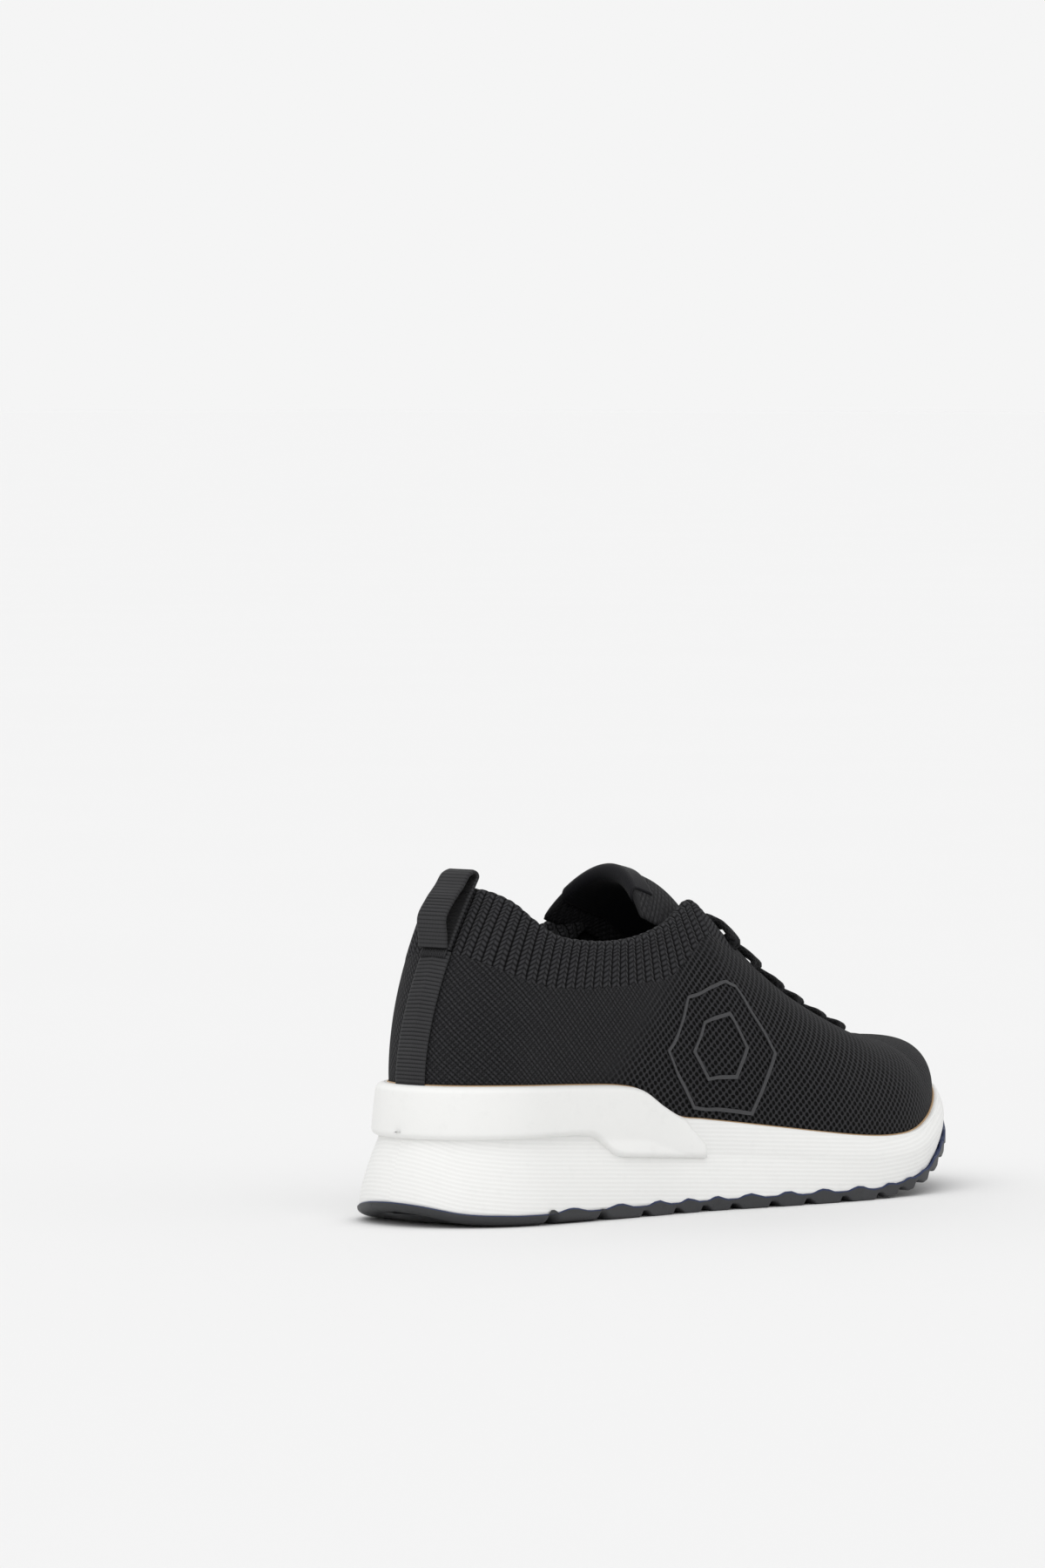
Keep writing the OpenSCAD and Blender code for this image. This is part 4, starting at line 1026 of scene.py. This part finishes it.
class SHOE_OT_heel_panel(bpy.types.Operator):
    """Smooth raised foam panel round the heel"""
    bl_idname = "shoe.heel_panel"
    bl_label = "Heel panel"

    def execute(self, context):
        tones = context.scene.shoe_colours

        def place(a, b):
            return panel_point(1 - a, b, 0.0)

        def uv(a, b):
            return np.stack([a * 300, b * 20], -1)
        obj = finish_mesh(grid_mesh(400, 36, place, uv), "heel_panel_raised",
                          foam_material("Panel foam", tones.foam, 0.0))
        thicken(obj, 0.8)
        enlist(obj, "panel_foam", "heel_panel")
        return {"FINISHED"}


# ---- Pieces of the upper ----
def bar_turn(k, side):
    s = mix(FIRST_BAR, LAST_BAR, k / (BARS - 1))
    return s / 2 if side < 0 else 1 - s / 2


def surface_normal(t, v):
    return unit(np.cross(upper_point(t + 0.004, v) - upper_point(t - 0.004, v),
                         upper_point(t, v) - upper_point(t, v - 0.02)))


def eyelet_v(t):
    return 1 - 0.2 * EYELET_INSET / np.linalg.norm(upper_point(t, 1) - upper_point(t, 0.8))


def eyelet(k, side):
    t = bar_turn(k, side)
    return upper_point(t, eyelet_v(t))


def eyelet_normal(k, side):
    t = bar_turn(k, side)
    return surface_normal(t, eyelet_v(t))


class SHOE_OT_upper(bpy.types.Operator):
    """Knitted upper, from a tight twill heel to an open mesh front"""
    bl_idname = "shoe.upper"
    bl_label = "Knit upper"

    def execute(self, context):
        tones = context.scene.shoe_colours

        def row(b):
            return mix(1.0, ROWS, b)

        def keep(a, b):
            way = np.minimum(a, 1 - a)
            return (row(b) < SEAM_ROW + 1e-6) | (way > VAMP_START - 1e-6)
        bm = grid_mesh(384, 88, lambda a, b: shell(a, row(b)),
                       lambda a, b: cloth_uv(a, row(b)), keep)
        obj = finish_mesh(bm, "knit_body", knit_material("Knit", tones.knit, opens=True))
        thicken(obj, KNIT_T - 0.2)
        enlist(obj, "knit", "knit_upper")
        return {"FINISHED"}


class SHOE_OT_lace_bands(bpy.types.Operator):
    """Tight-knit bands beside the throat, each punched with six lace holes"""
    bl_idname = "shoe.lace_bands"
    bl_label = "Lace bands"

    def execute(self, context):
        material = knit_material("Lace band knit", context.scene.shoe_colours.knit)
        for side, node in ((-1, "lace_band_lateral"), (1, "lace_band_medial")):
            def spot(a, b):
                t = mix(COLLAR_END, VAMP_START, a if side < 0 else 1 - a)
                return t if side < 0 else 1 - t, mix(SEAM_ROW, ROWS, b)
            bm = grid_mesh(110, 36, lambda a, b: shell(*spot(a, b)),
                           lambda a, b: cloth_uv(*spot(a, b)))
            obj = finish_mesh(bm, node + "_knit", material)
            thicken(obj, KNIT_T - 0.2)
            punch = bmesh.new()
            for k in range(BARS):
                at, way = eyelet(k, side) * MM, eyelet_normal(k, side)
                radius = EYELET_D / 2 * MM
                made = bmesh.ops.create_cone(punch, cap_ends=True, segments=28, radius1=radius,
                                             radius2=radius, depth=6 * KNIT_T * MM)
                bmesh.ops.transform(punch, matrix=toward(way), verts=made["verts"])
                bmesh.ops.translate(punch, vec=Vector(at), verts=made["verts"])
            tool = finish_mesh(punch, node + "_punch", material)
            cut = obj.modifiers.new("Lace holes", "BOOLEAN")
            cut.operation = "DIFFERENCE"
            cut.solver = "EXACT"
            cut.object = tool
            apply_modifiers(obj)
            bpy.data.objects.remove(tool)
            enlist(obj, "film", node)
        return {"FINISHED"}


def toward(way):
    """A turn that brings Z onto a way."""
    return Vector(way).to_track_quat("Z", "Y").to_matrix().to_4x4()


def apply_modifiers(obj):
    graph = bpy.context.evaluated_depsgraph_get()
    mesh = bpy.data.meshes.new_from_object(obj.evaluated_get(graph), preserve_all_data_layers=True,
                                           depsgraph=graph)
    obj.modifiers.clear()
    obj.data = mesh


ROLL_OUT, ROLL_TOP = 0.58, 0.74  # shares of the collar band's path: outer face, then the roll
ROLL_END = 0.9                   # share where the inner face reaches its depth
INNER_ROWS = 2.4                 # how far the band runs down inside
ROLL_W, INNER_DEPTH = 3.6, 6.0   # thickness of the roll and depth of the inner face
END_ROLL_W, END_DEPTH = 1.6, 2.2  # the same at the band's two ends
ROLL_CLOTH = 5.6                 # cloth that the roll takes up


class SHOE_OT_collar(bpy.types.Operator):
    """Ribbed collar band, folded over the top edge to the inside"""
    bl_idname = "shoe.collar"
    bl_label = "Rib collar"

    def execute(self, context):
        sizes, tones = context.scene.shoe_sizes, context.scene.shoe_colours
        pitch, height = sizes.rib_pitch / MM, sizes.rib_height / MM

        def turn(a):
            return mix(-COLLAR_END, COLLAR_END, a)

        def phase(t):
            whole = np.interp(t % 1.0, TURNS, TOP_ARC) - np.where(t < 0, TOP_ARC[-1], 0)
            return whole / pitch

        def parts(b):
            row = np.where(b < ROLL_OUT, mix(SEAM_ROW, ROWS, b / ROLL_OUT),
                           np.where(b < ROLL_TOP, ROWS,
                                    ROWS - INNER_ROWS * (b - ROLL_TOP) / (1 - ROLL_TOP)))
            roll = np.clip((b - ROLL_OUT) / (ROLL_TOP - ROLL_OUT), 0, 1) * 180
            return row, roll

        def place(a, b):
            t = turn(a)
            row, roll = parts(b)
            base, n = shell(t, row), shell_normal(t, np.minimum(row, ROWS - 0.01))
            up = unit(shell(t, ROWS) - shell(t, ROWS - 0.3))
            ends = smooth(np.abs(a - 0.5), 0.5, 0.47)
            thick = mix(END_ROLL_W, ROLL_W, ends)
            inner = mix(thick, mix(END_DEPTH, INNER_DEPTH, ends), smooth(b, ROLL_TOP, ROLL_END))
            depth = np.where(b > ROLL_TOP, inner, thick / 2 * (1 - cosd(roll)))
            lift = thick / 2 * sind(roll) - thick / 2 * smooth(row, 10.5, 12)
            ribs = np.abs(np.cos(np.pi * phase(t))) ** 0.8
            fade = (smooth(b, 0.0, 0.05) * smooth(b, 1.0, 0.93)
                    * (1 - 0.65 * smooth(b, 0.46, 0.58)))
            out = height * (ribs - 0.75) * fade
            p = base - depth[..., None] * n + lift[..., None] * up
            face = n * cosd(roll)[..., None] + up * sind(roll)[..., None]
            return p + out[..., None] * face

        def uv(a, b):
            t = turn(a)
            row, roll = parts(b)
            up = cloth_uv(t % 1.0, row)[..., 1]
            top = cloth_uv(t % 1.0, ROWS + 0 * row)[..., 1]
            up = np.where(b > ROLL_TOP, 2 * top - up + ROLL_CLOTH, up + roll / 180 * ROLL_CLOTH)
            return np.stack([phase(t) + 0.5, up], -1)
        obj = finish_mesh(grid_mesh(780, 46, place, uv), "rib_collar_band",
                          rib_material("Rib", tones.rib))
        thicken(obj, 1.1)
        enlist(obj, "rib", "rib_collar")
        return {"FINISHED"}


def pad_rise(t, row):
    way = np.minimum(t % 1.0, 1 - t % 1.0)
    return (PADDING_T * smooth(row, 5.8, 7) * smooth(row, 12, 11)
            * smooth(way, COLLAR_END * 0.85, COLLAR_END * 0.68))


class SHOE_OT_lining(bpy.types.Operator):
    """Lining cloth over the collar's padding and down to the footbed"""
    bl_idname = "shoe.lining"
    bl_label = "Lining"

    def execute(self, context):
        tones = context.scene.shoe_colours

        def row(b):
            return mix(0.2, ROWS, b)

        def keep(a, b):
            way = np.minimum(a, 1 - a)
            return (row(b) < SEAM_ROW + 0.1) | (way > VAMP_START - 1e-6) | (
                (way < COLLAR_END) & (row(b) < 11.3))

        def place(a, b):
            t, r = 1 - a, row(b)
            depth = KNIT_T + 2 * GLUE + LINING_T + pad_rise(t, r)
            return shell(t, r) - depth[..., None] * shell_normal(t, r)
        obj = finish_mesh(grid_mesh(256, 59, place, lambda a, b: cloth_uv(1 - a, row(b)), keep),
                          "lining_cloth", cloth_material("Lining cloth", tones.lining, 1.3, 0.3))
        thicken(obj, LINING_T)
        enlist(obj, "lining", "lining")
        return {"FINISHED"}


# ---- Tongue ----
TONGUE_LINE = np.array(
    [[0.628 * HALF_L, VAMP_H - KNIT_T - GLUE - LINING_T - 4]]
    + [[HALF_L * float(curve(TOP_X, s)), float(curve(TOP_Z, s)) + z] for s, z in
       [[0.755, -4.6], [0.72, -1.5], [0.68, 1], [0.64, 2], [0.6, 2], [0.56, 2], [0.53, 1.6]]]
    + [[-0.085 * HALF_L, COLLAR_FRONT + 4], [-0.155 * HALF_L, COLLAR_FRONT + 8.8],
       [-0.235 * HALF_L, COLLAR_FRONT + 11.8]])
TONGUE_N = len(TONGUE_LINE) - 1
TONGUE_WIDTH = [[w * TONGUE_HALF_W] for w in
                (0.32, 0.36, 0.52, 0.74, 0.84, 0.88, 0.9, 0.93, 0.98, 1, 0.92)]
TONGUE_WING = 0.07    # share by which the inner wing flares at the top
TONGUE_SWEEP = 0.015  # how far the wings bend back, per square of the width
OVER_TOP = 0.45       # share of the skin's path where it turns over the top edge


def tongue_point(k, b, depth, past):
    """Place k of the tongue's length and b of its half width, under and past its centre line."""
    x, z = spline(TONGUE_LINE, k).T
    ahead = spline(TONGUE_LINE, np.minimum(k + 0.1, TONGUE_N))
    way_x, way_z = unit(ahead - spline(TONGUE_LINE, np.maximum(k - 0.1, 0))).T
    half = spline(TONGUE_WIDTH, k)[..., 0]
    y = b * half * (1 + TONGUE_WING * smooth(b, 0.45, 1.0) * smooth(k, 9.0, 10.0))
    sweep = TONGUE_SWEEP * np.maximum(0, k - TONGUE_N + 3) / 3
    return np.stack([x - depth * way_z - sweep * y * y + past * way_x, middle(x) + y,
                     z + depth * way_x - TONGUE_ARCH * y * y + past * way_z], -1)


def tongue_skin(w, b, grow=0.0):
    """Out along the outer face, over the top edge, and back down the inner face."""
    b = 2 * b - 1
    half = TONGUE_T / 2 * np.maximum(1 - np.abs(b) ** 5, 0) ** 0.5 + grow
    roll = np.clip((w - OVER_TOP) / (1 - 2 * OVER_TOP), 0, 1) * 180
    k = np.clip(np.minimum(w, 1 - w) / OVER_TOP, 0, 1) * TONGUE_N
    depth = TONGUE_T / 2 - half * cosd(roll) * mix(0.4, 1, smooth(k, 0, 0.6))
    end = smooth(k, TONGUE_N - 1, TONGUE_N)
    return tongue_point(k, b, depth, half * sind(roll) - TONGUE_T / 2 * end)


class SHOE_OT_tongue(bpy.types.Operator):
    """Padded tongue with winged sides, and the smooth panel wrapped over its top"""
    bl_idname = "shoe.tongue"
    bl_label = "Tongue"

    def execute(self, context):
        tones = context.scene.shoe_colours
        bm = grid_mesh(64, 180, lambda a, b: tongue_skin(b, a),
                       lambda a, b: np.stack([a * 46, b * 250], -1))
        tongue = finish_mesh(bm, "tongue_pad", knit_material("Tongue knit", tones.knit),
                             closed=True)
        enlist(tongue, "tongue", "tongue", body="tongue")

        def wrap(a, b):
            return tongue_skin(mix(0.42, 0.70, b), mix(0.14, 0.86, a), 0.15 + WRAP_T)
        bm = grid_mesh(48, 90, wrap, lambda a, b: np.stack([a * 34, b * 70], -1))
        cover = finish_mesh(bm, "tongue_top_wrap",
                            cloth_material("Wrap cloth", tones.wrap, 0.5, 0.06, sheen=0.05,
                                           roughness=0.62))
        thicken(cover, WRAP_T)
        enlist(cover, "wrap", "tongue_wrap", body="tongue")
        return {"FINISHED"}


# ---- Lace ----
UNDER_DEPTH = KNIT_T + 0.3 + LACE_T / 2
LACE_LIFT = LACE_T / 2 + 0.6
TAIL = 0.018      # how far the lace runs on past the first bar, along the throat
LACE_STEPS = 8    # rings of the lace from one station to the next
LACE_AROUND = 16
BRAID_STEP = 2.1  # from one strand of the braid to the next


def start_side(k):
    """Even bars start on the outer side."""
    return -1 if k % 2 == 0 else 1


def throat_way(k):
    a, b = max(k - 1, 0), min(k + 1, BARS - 1)
    return unit(eyelet(b, -1) + eyelet(b, 1) - eyelet(a, -1) - eyelet(a, 1))


def rise(k, side, turn):
    """Stations up through a lace hole: the lace's place and the way its width lies."""
    e, n, flat = eyelet(k, side), eyelet_normal(k, side), turn * throat_way(k)
    out = side * unit(np.cross(n, throat_way(k)))
    return [(e - UNDER_DEPTH * n, out),
            (e - 0.3 * KNIT_T * n, unit(out + flat)),
            (e + (LACE_LIFT - 0.2) * n - 0.5 * out, flat)]


def bar_top(k, side):
    a, b = upper_point(bar_turn(k, side), 1), upper_point(bar_turn(k, -side), 1)
    up = unit(np.cross(throat_way(k), unit(b - a))) * -side
    places = [a + LACE_LIFT * unit(up + 0.4 * eyelet_normal(k, side))]
    places += [mix(a, b, f) + (LACE_LIFT + lift) * up
               for f, lift in ((0.25, 0.5), (0.5, 0.7), (0.75, 0.5))]
    places += [b + LACE_LIFT * unit(up + 0.4 * eyelet_normal(k, -side))]
    return [(p, -side * throat_way(k)) for p in places]


def under_station(s, side):
    t = s / 2 if side < 0 else 1 - s / 2
    v = eyelet_v(t)
    n = surface_normal(t, v)
    way = unit(upper_point(t - 0.004 * side, v) - upper_point(t + 0.004 * side, v))
    return (upper_point(t, v) - UNDER_DEPTH * n, side * unit(np.cross(n, way)))


def lace_stations():
    step = (LAST_BAR - FIRST_BAR) / (BARS - 1)
    path = [under_station(FIRST_BAR - TAIL, -1), under_station(FIRST_BAR - 0.006, -1)]
    for k in range(BARS):
        side = start_side(k)
        path += rise(k, side, -side) + bar_top(k, side) + rise(k, -side, -side)[::-1]
        if k < BARS - 1:
            path.append(under_station(FIRST_BAR + (k + 0.5) * step, -side))
    path.append(under_station(LAST_BAR + 0.006, -1))
    return path


class SHOE_OT_lace(bpy.types.Operator):
    """One braided lace that climbs the throat in straight bars, and its two tips"""
    bl_idname = "shoe.lace"
    bl_label = "Lace"

    def execute(self, context):
        sizes, tones = context.scene.shoe_sizes, context.scene.shoe_colours
        places, wides = np.array(lace_stations()).transpose(1, 0, 2)
        n = len(places) - 1
        cols = n * LACE_STEPS
        for k in range(1, n + 1):
            if np.dot(wides[k], wides[k - 1]) < -0.2:
                wides[k] = -wides[k]
        us = np.linspace(0, n, cols + 1)
        line, wide = spline(places, us), spline(wides, us)
        way = unit(np.gradient(line, axis=0))
        wide = unit(wide - (wide * way).sum(-1)[:, None] * way)
        thick = unit(np.cross(wide, way))
        length = arc_lengths(line)
        bulk = np.zeros(cols + 1)  # 1 on the bars, 0 where the lace passes through the cloth
        for k in range(BARS):
            mid = mix(upper_point(bar_turn(k, -1), 1), upper_point(bar_turn(k, 1), 1), 0.5)
            bulk = np.maximum(bulk, smooth(np.linalg.norm(line - mid, axis=-1), 19, 12))

        def place(a, b):
            i = nearest(a, cols)
            half_w = LACE_W / 2 * mix(1.0, 1.08, bulk[i])
            half_t = LACE_T / 2 * mix(1.0, sizes.braid_bulk, bulk[i])
            strand = np.abs(np.sin(np.pi * length[i] / BRAID_STEP + 2 * np.pi * b))
            braid = 1 + 0.07 * bulk[i] * strand
            c, s = cosd(360 * b), sind(360 * b)
            c, s = np.sign(c) * np.abs(c) ** 0.8, np.sign(s) * np.abs(s) ** 0.8
            return (line[i] + (half_w * c * braid)[:, None] * wide[i]
                    + (half_t * s * braid)[:, None] * thick[i])

        def uv(a, b):
            return np.stack([b * 14.4, length[nearest(a, cols)]], -1)
        bm = grid_mesh(cols, LACE_AROUND, place, uv)
        ends = [e for e in bm.edges if e.is_boundary]
        bmesh.ops.holes_fill(bm, edges=ends, sides=0)
        obj = finish_mesh(bm, "braided_lace", lace_material("Lace braid", tones.lace), closed=True)
        enlist(obj, "lace", "lace")
        tip = hard_material("Lace tip", tones.lace, 0.25, 0.02)
        finish_nodes({"aglet_ankle": tip, "aglet_toe": tip})
        return {"FINISHED"}


# ---- Webbing ----
WEBBING_RIB = 0.5
STITCHES = 26


def heel_line(row, out):
    p = shell(0.0, row) + out * shell_normal(0.0, row)
    return np.stack([p[..., 0], p[..., 2]], -1)


def webbing_ribs(length, across, pitch, height):
    """Rounded cross ribs, with flat twill edges."""
    rib = np.abs(np.sin(np.pi * length / pitch)) ** 0.7
    return height * (rib - 0.5) * smooth(np.abs(across), 0.93, 0.84)


class SHOE_OT_webbing(bpy.types.Operator):
    """Ribbed heel webbing, its pull loop and the bar of stitches between them"""
    bl_idname = "shoe.webbing"
    bl_label = "Heel webbing and loop"

    def execute(self, context):
        sizes, tones = context.scene.shoe_sizes, context.scene.shoe_colours
        material = webbing_material("Webbing", tones.webbing)
        pitch = sizes.webbing_pitch / MM
        span = float(np.interp(SEAM_ROW, LEVELS, UP_ARC[0]) - np.interp(RIM_ROW, LEVELS, UP_ARC[0]))

        def tape(a, b):
            row = mix(RIM_ROW - 0.15, SEAM_ROW, b)
            across = 2 * a - 1
            far = np.where(across < 0, -1 / 64, 1 / 64)
            centre, aside = shell(0 * row, row), shell(far % 1.0, row)
            f = np.abs(across) * TAPE_W / 2 / np.linalg.norm(aside - centre, axis=-1)
            n = unit(mix(shell_normal(0 * row, row), shell_normal(far % 1.0, row),
                         np.minimum(f, 1)[..., None]))
            rib = webbing_ribs(b * span, across, pitch, WEBBING_RIB)
            edge = 0.35 * smooth(np.abs(across), 0.96, 1.0)
            return mix(centre, aside, f[..., None]) + (TAPE_T - 0.1 + rib - edge)[..., None] * n
        bm = grid_mesh(20, int(span / pitch) * 6, tape,
                       lambda a, b: np.stack([a * TAPE_W, b * span], -1))
        strap = finish_mesh(bm, "heel_webbing", material)
        thicken(strap, TAPE_T - 0.2)
        enlist(strap, "webbing", "heel_tape")

        base = heel_line(SEAM_ROW, FABRIC_GAP + 1.5 * TAPE_T + GLUE)
        lift = COLLAR_HEEL - base[1]
        top_x = float(shell(0.0, ROWS)[0])
        line = [base, base + [-0.2, 0.18 * lift]]
        line += [base + [out * LOOP_GAP + x - 0.9, up * lift] for out, x, up in
                 ((0, 0.3, 0.5), (0.1, 3.6, 0.78), (0.3, 6.4, 1))]
        line += [[top_x - 4.2, COLLAR_HEEL + 3.9], [top_x - 1, COLLAR_HEEL + 5],
                 [top_x + 0.5, COLLAR_HEEL + 3.3]]
        line += [heel_line(j, FABRIC_GAP + 0.5 * TAPE_T) for j in range(ROWS, SEAM_ROW - 1, -1)]
        line = np.array(line)
        n = len(line) - 1
        us = np.linspace(0.03, n - 0.03, 2001)
        lengths = arc_lengths(spline(line, us))
        total = lengths[-1]
        mid_y = float(middle(base[0]))

        def loop(a, b):
            run = b * total
            u = np.interp(run, lengths, us)
            x, z = spline(line, u).T
            way_x, way_z = unit(spline(line, u + 0.02) - spline(line, u - 0.02)).T
            across = 2 * a - 1
            ribbed = smooth(run, 10, 11) * (1 - smooth(run, 19, 20.5) * smooth(run, 33, 31.5))
            rib = webbing_ribs(run, across, pitch, WEBBING_RIB) * ribbed
            edge = 0.3 * smooth(np.abs(across), 0.96, 1.0)
            out = TAPE_T / 2 - 0.2 + rib - edge
            return np.stack([x - out * way_z, mid_y + across * -TAPE_W / 2, z + out * way_x], -1)
        bm = grid_mesh(20, int(total / pitch) * 6, loop,
                       lambda a, b: np.stack([a * TAPE_W, b * total], -1))
        strap = finish_mesh(bm, "pull_loop_webbing", material)
        thicken(strap, TAPE_T - 0.3)
        enlist(strap, "webbing", "pull_loop", body="pull_loop")

        thread = bmesh.new()
        up = unit(shell(0.0, SEAM_ROW) - shell(0.0, SEAM_ROW - 1))
        out = shell_normal(0.0, SEAM_ROW)
        start = shell(0.0, SEAM_ROW) + (TAPE_T + 0.25) * out - 1.6 * up
        for k in range(STITCHES):
            made = bmesh.ops.create_uvsphere(thread, u_segments=8, v_segments=6, radius=1.0)
            bmesh.ops.scale(thread, vec=(0.3 * MM, 0.42 * MM, 1.6 * MM), verts=made["verts"])
            bmesh.ops.transform(thread, matrix=toward(up), verts=made["verts"])
            y = (k / (STITCHES - 1) - 0.5) * 0.84 * TAPE_W
            bmesh.ops.translate(thread, verts=made["verts"],
                                vec=Vector((start + [0, y, 0.25 * (-1) ** k]) * MM))
        for face in thread.faces:
            face.smooth = True
        stitches = finish_mesh(thread, "bartack_stitches",
                               plain_cloth_material("Thread", tones.webbing, 1600))
        enlist(stitches, "thread", "loop_bartack")
        return {"FINISHED"}


class SHOE_OT_inner_parts(bpy.types.Operator):
    """Finishes of the insole, the board, the padding, the stiffeners and the raised outline"""
    bl_idname = "shoe.inner_parts"
    bl_label = "Inner parts and outline"

    def execute(self, context):
        tones = context.scene.shoe_colours
        looks = {
            "strobel_board": plain_cloth_material("Board", (0.5, 0.47, 0.42), 500),
            "sock_foam": plain_cloth_material("Insole foam", (0.1, 0.1, 0.11), 300),
            "sock_cover": plain_cloth_material("Insole cloth", tones.lining, 700),
            "collar_padding": plain_cloth_material("Collar foam", (0.45, 0.45, 0.43), 300),
            "heel_counter": hard_material("Stiffener", (0.012, 0.012, 0.013), 0.9),
            "side_motif": hard_material("Raised outline", tones.outline, 0.5, 0.05),
        }
        looks["toe_puff"] = looks["heel_counter"]
        finish_nodes(looks)
        return {"FINISHED"}


# ---- Stage ----
VIEW_ANGLE, VIEW_RISE = 43.0, 4.0  # degrees: the way the camera looks, from +X toward +Y, and down
VIEW_DISTANCE = 3500.0
LENS, SENSOR = 332.083, 36.0
SHOE_MIDDLE = np.array([0.0, 0.0, 55.0])
AIM_LEFT, AIM_UP = 50.98, 96.6  # how far the camera aims beside and above the shoe's middle
BACK_SEEN, BACK_LIGHT = 0.913, 0.76  # the background as the camera sees it, and as it lights


class SHOE_OT_stage(bpy.types.Operator):
    """Camera, pale floor and soft studio light"""
    bl_idname = "shoe.stage"
    bl_label = "Stage"

    def execute(self, context):
        scene = context.scene
        scene.view_settings.view_transform = "Standard"
        flat = cosd(VIEW_RISE)
        way = np.array([cosd(VIEW_ANGLE) * flat, sind(VIEW_ANGLE) * flat, -sind(VIEW_RISE)])
        right = np.array([sind(VIEW_ANGLE), -cosd(VIEW_ANGLE), 0.0])
        up = np.cross(right, way)
        place = SHOE_MIDDLE - VIEW_DISTANCE * way
        target = SHOE_MIDDLE - AIM_LEFT * right + AIM_UP * up
        data = bpy.data.cameras.new("Camera")
        data.sensor_fit = "HORIZONTAL"
        data.sensor_width = SENSOR
        data.lens = LENS
        data.clip_end = 300.0
        camera = bpy.data.objects.new("Camera", data)
        scene.collection.objects.link(camera)
        camera.location = place * MM
        camera.rotation_euler = Vector(target - place).to_track_quat("-Z", "Y").to_euler()
        scene.camera = camera

        bm = bmesh.new()
        bmesh.ops.create_grid(bm, x_segments=2, y_segments=2, size=60.0)
        floor = finish_mesh(bm, "studio_floor", floor_material())

        world = bpy.data.worlds.new("Studio")
        scene.world = world
        world.use_nodes = True
        web = Web(world.node_tree)
        back = world.node_tree.nodes["Background"]
        seen = web.add("ShaderNodeLightPath")
        back.inputs["Color"].default_value = (1, 1, 1, 1)
        web.put(back.inputs["Strength"], web.scale_add(seen, BACK_SEEN - BACK_LIGHT, BACK_LIGHT))
        for name, way, energy, spread in (("Key", (-0.75, -0.55, 1.2), 1.0, 70),
                                          ("Top", (0.3, 0.4, 1), 0.35, 100)):
            light = bpy.data.lights.new(name, "SUN")
            light.angle = math.radians(spread)
            light.energy = energy
            lamp = bpy.data.objects.new(name, light)
            scene.collection.objects.link(lamp)
            lamp.location = way
            lamp.rotation_euler = (-Vector(way)).to_track_quat("-Z", "Y").to_euler()
        return {"FINISHED"}


PIECES = (SHOE_OT_stage, SHOE_OT_lace, SHOE_OT_outsole, SHOE_OT_midsole, SHOE_OT_heel_panel,
          SHOE_OT_upper, SHOE_OT_lace_bands, SHOE_OT_collar, SHOE_OT_lining, SHOE_OT_tongue,
          SHOE_OT_webbing, SHOE_OT_inner_parts)


class SHOE_PT_panel(bpy.types.Panel):
    """Sizes, colours and pieces of the shoe"""
    bl_idname = "SHOE_PT_panel"
    bl_label = "Knit running shoe"
    bl_space_type = "VIEW_3D"
    bl_region_type = "UI"
    bl_category = "Shoe"

    def draw(self, context):
        for group_, title in ((context.scene.shoe_sizes, "Sizes"),
                              (context.scene.shoe_colours, "Colours")):
            box = self.layout.box()
            box.label(text=title)
            for name in group_.bl_rna.properties.keys():
                if name not in ("rna_type", "name"):
                    box.prop(group_, name)
        for piece in PIECES:
            self.layout.operator(piece.bl_idname)


CLASSES = (ShoeSizes, ShoeColours, *PIECES, SHOE_PT_panel)


def register():
    for cls in CLASSES:
        bpy.utils.register_class(cls)
    bpy.types.Scene.shoe_sizes = bpy.props.PointerProperty(type=ShoeSizes)
    bpy.types.Scene.shoe_colours = bpy.props.PointerProperty(type=ShoeColours)


def unregister():
    del bpy.types.Scene.shoe_colours
    del bpy.types.Scene.shoe_sizes
    for cls in reversed(CLASSES):
        bpy.utils.unregister_class(cls)


def main():
    register()
    for piece in PIECES:
        family, name = piece.bl_idname.split(".")
        getattr(getattr(bpy.ops, family), name)()


if __name__ == "__main__":
    main()
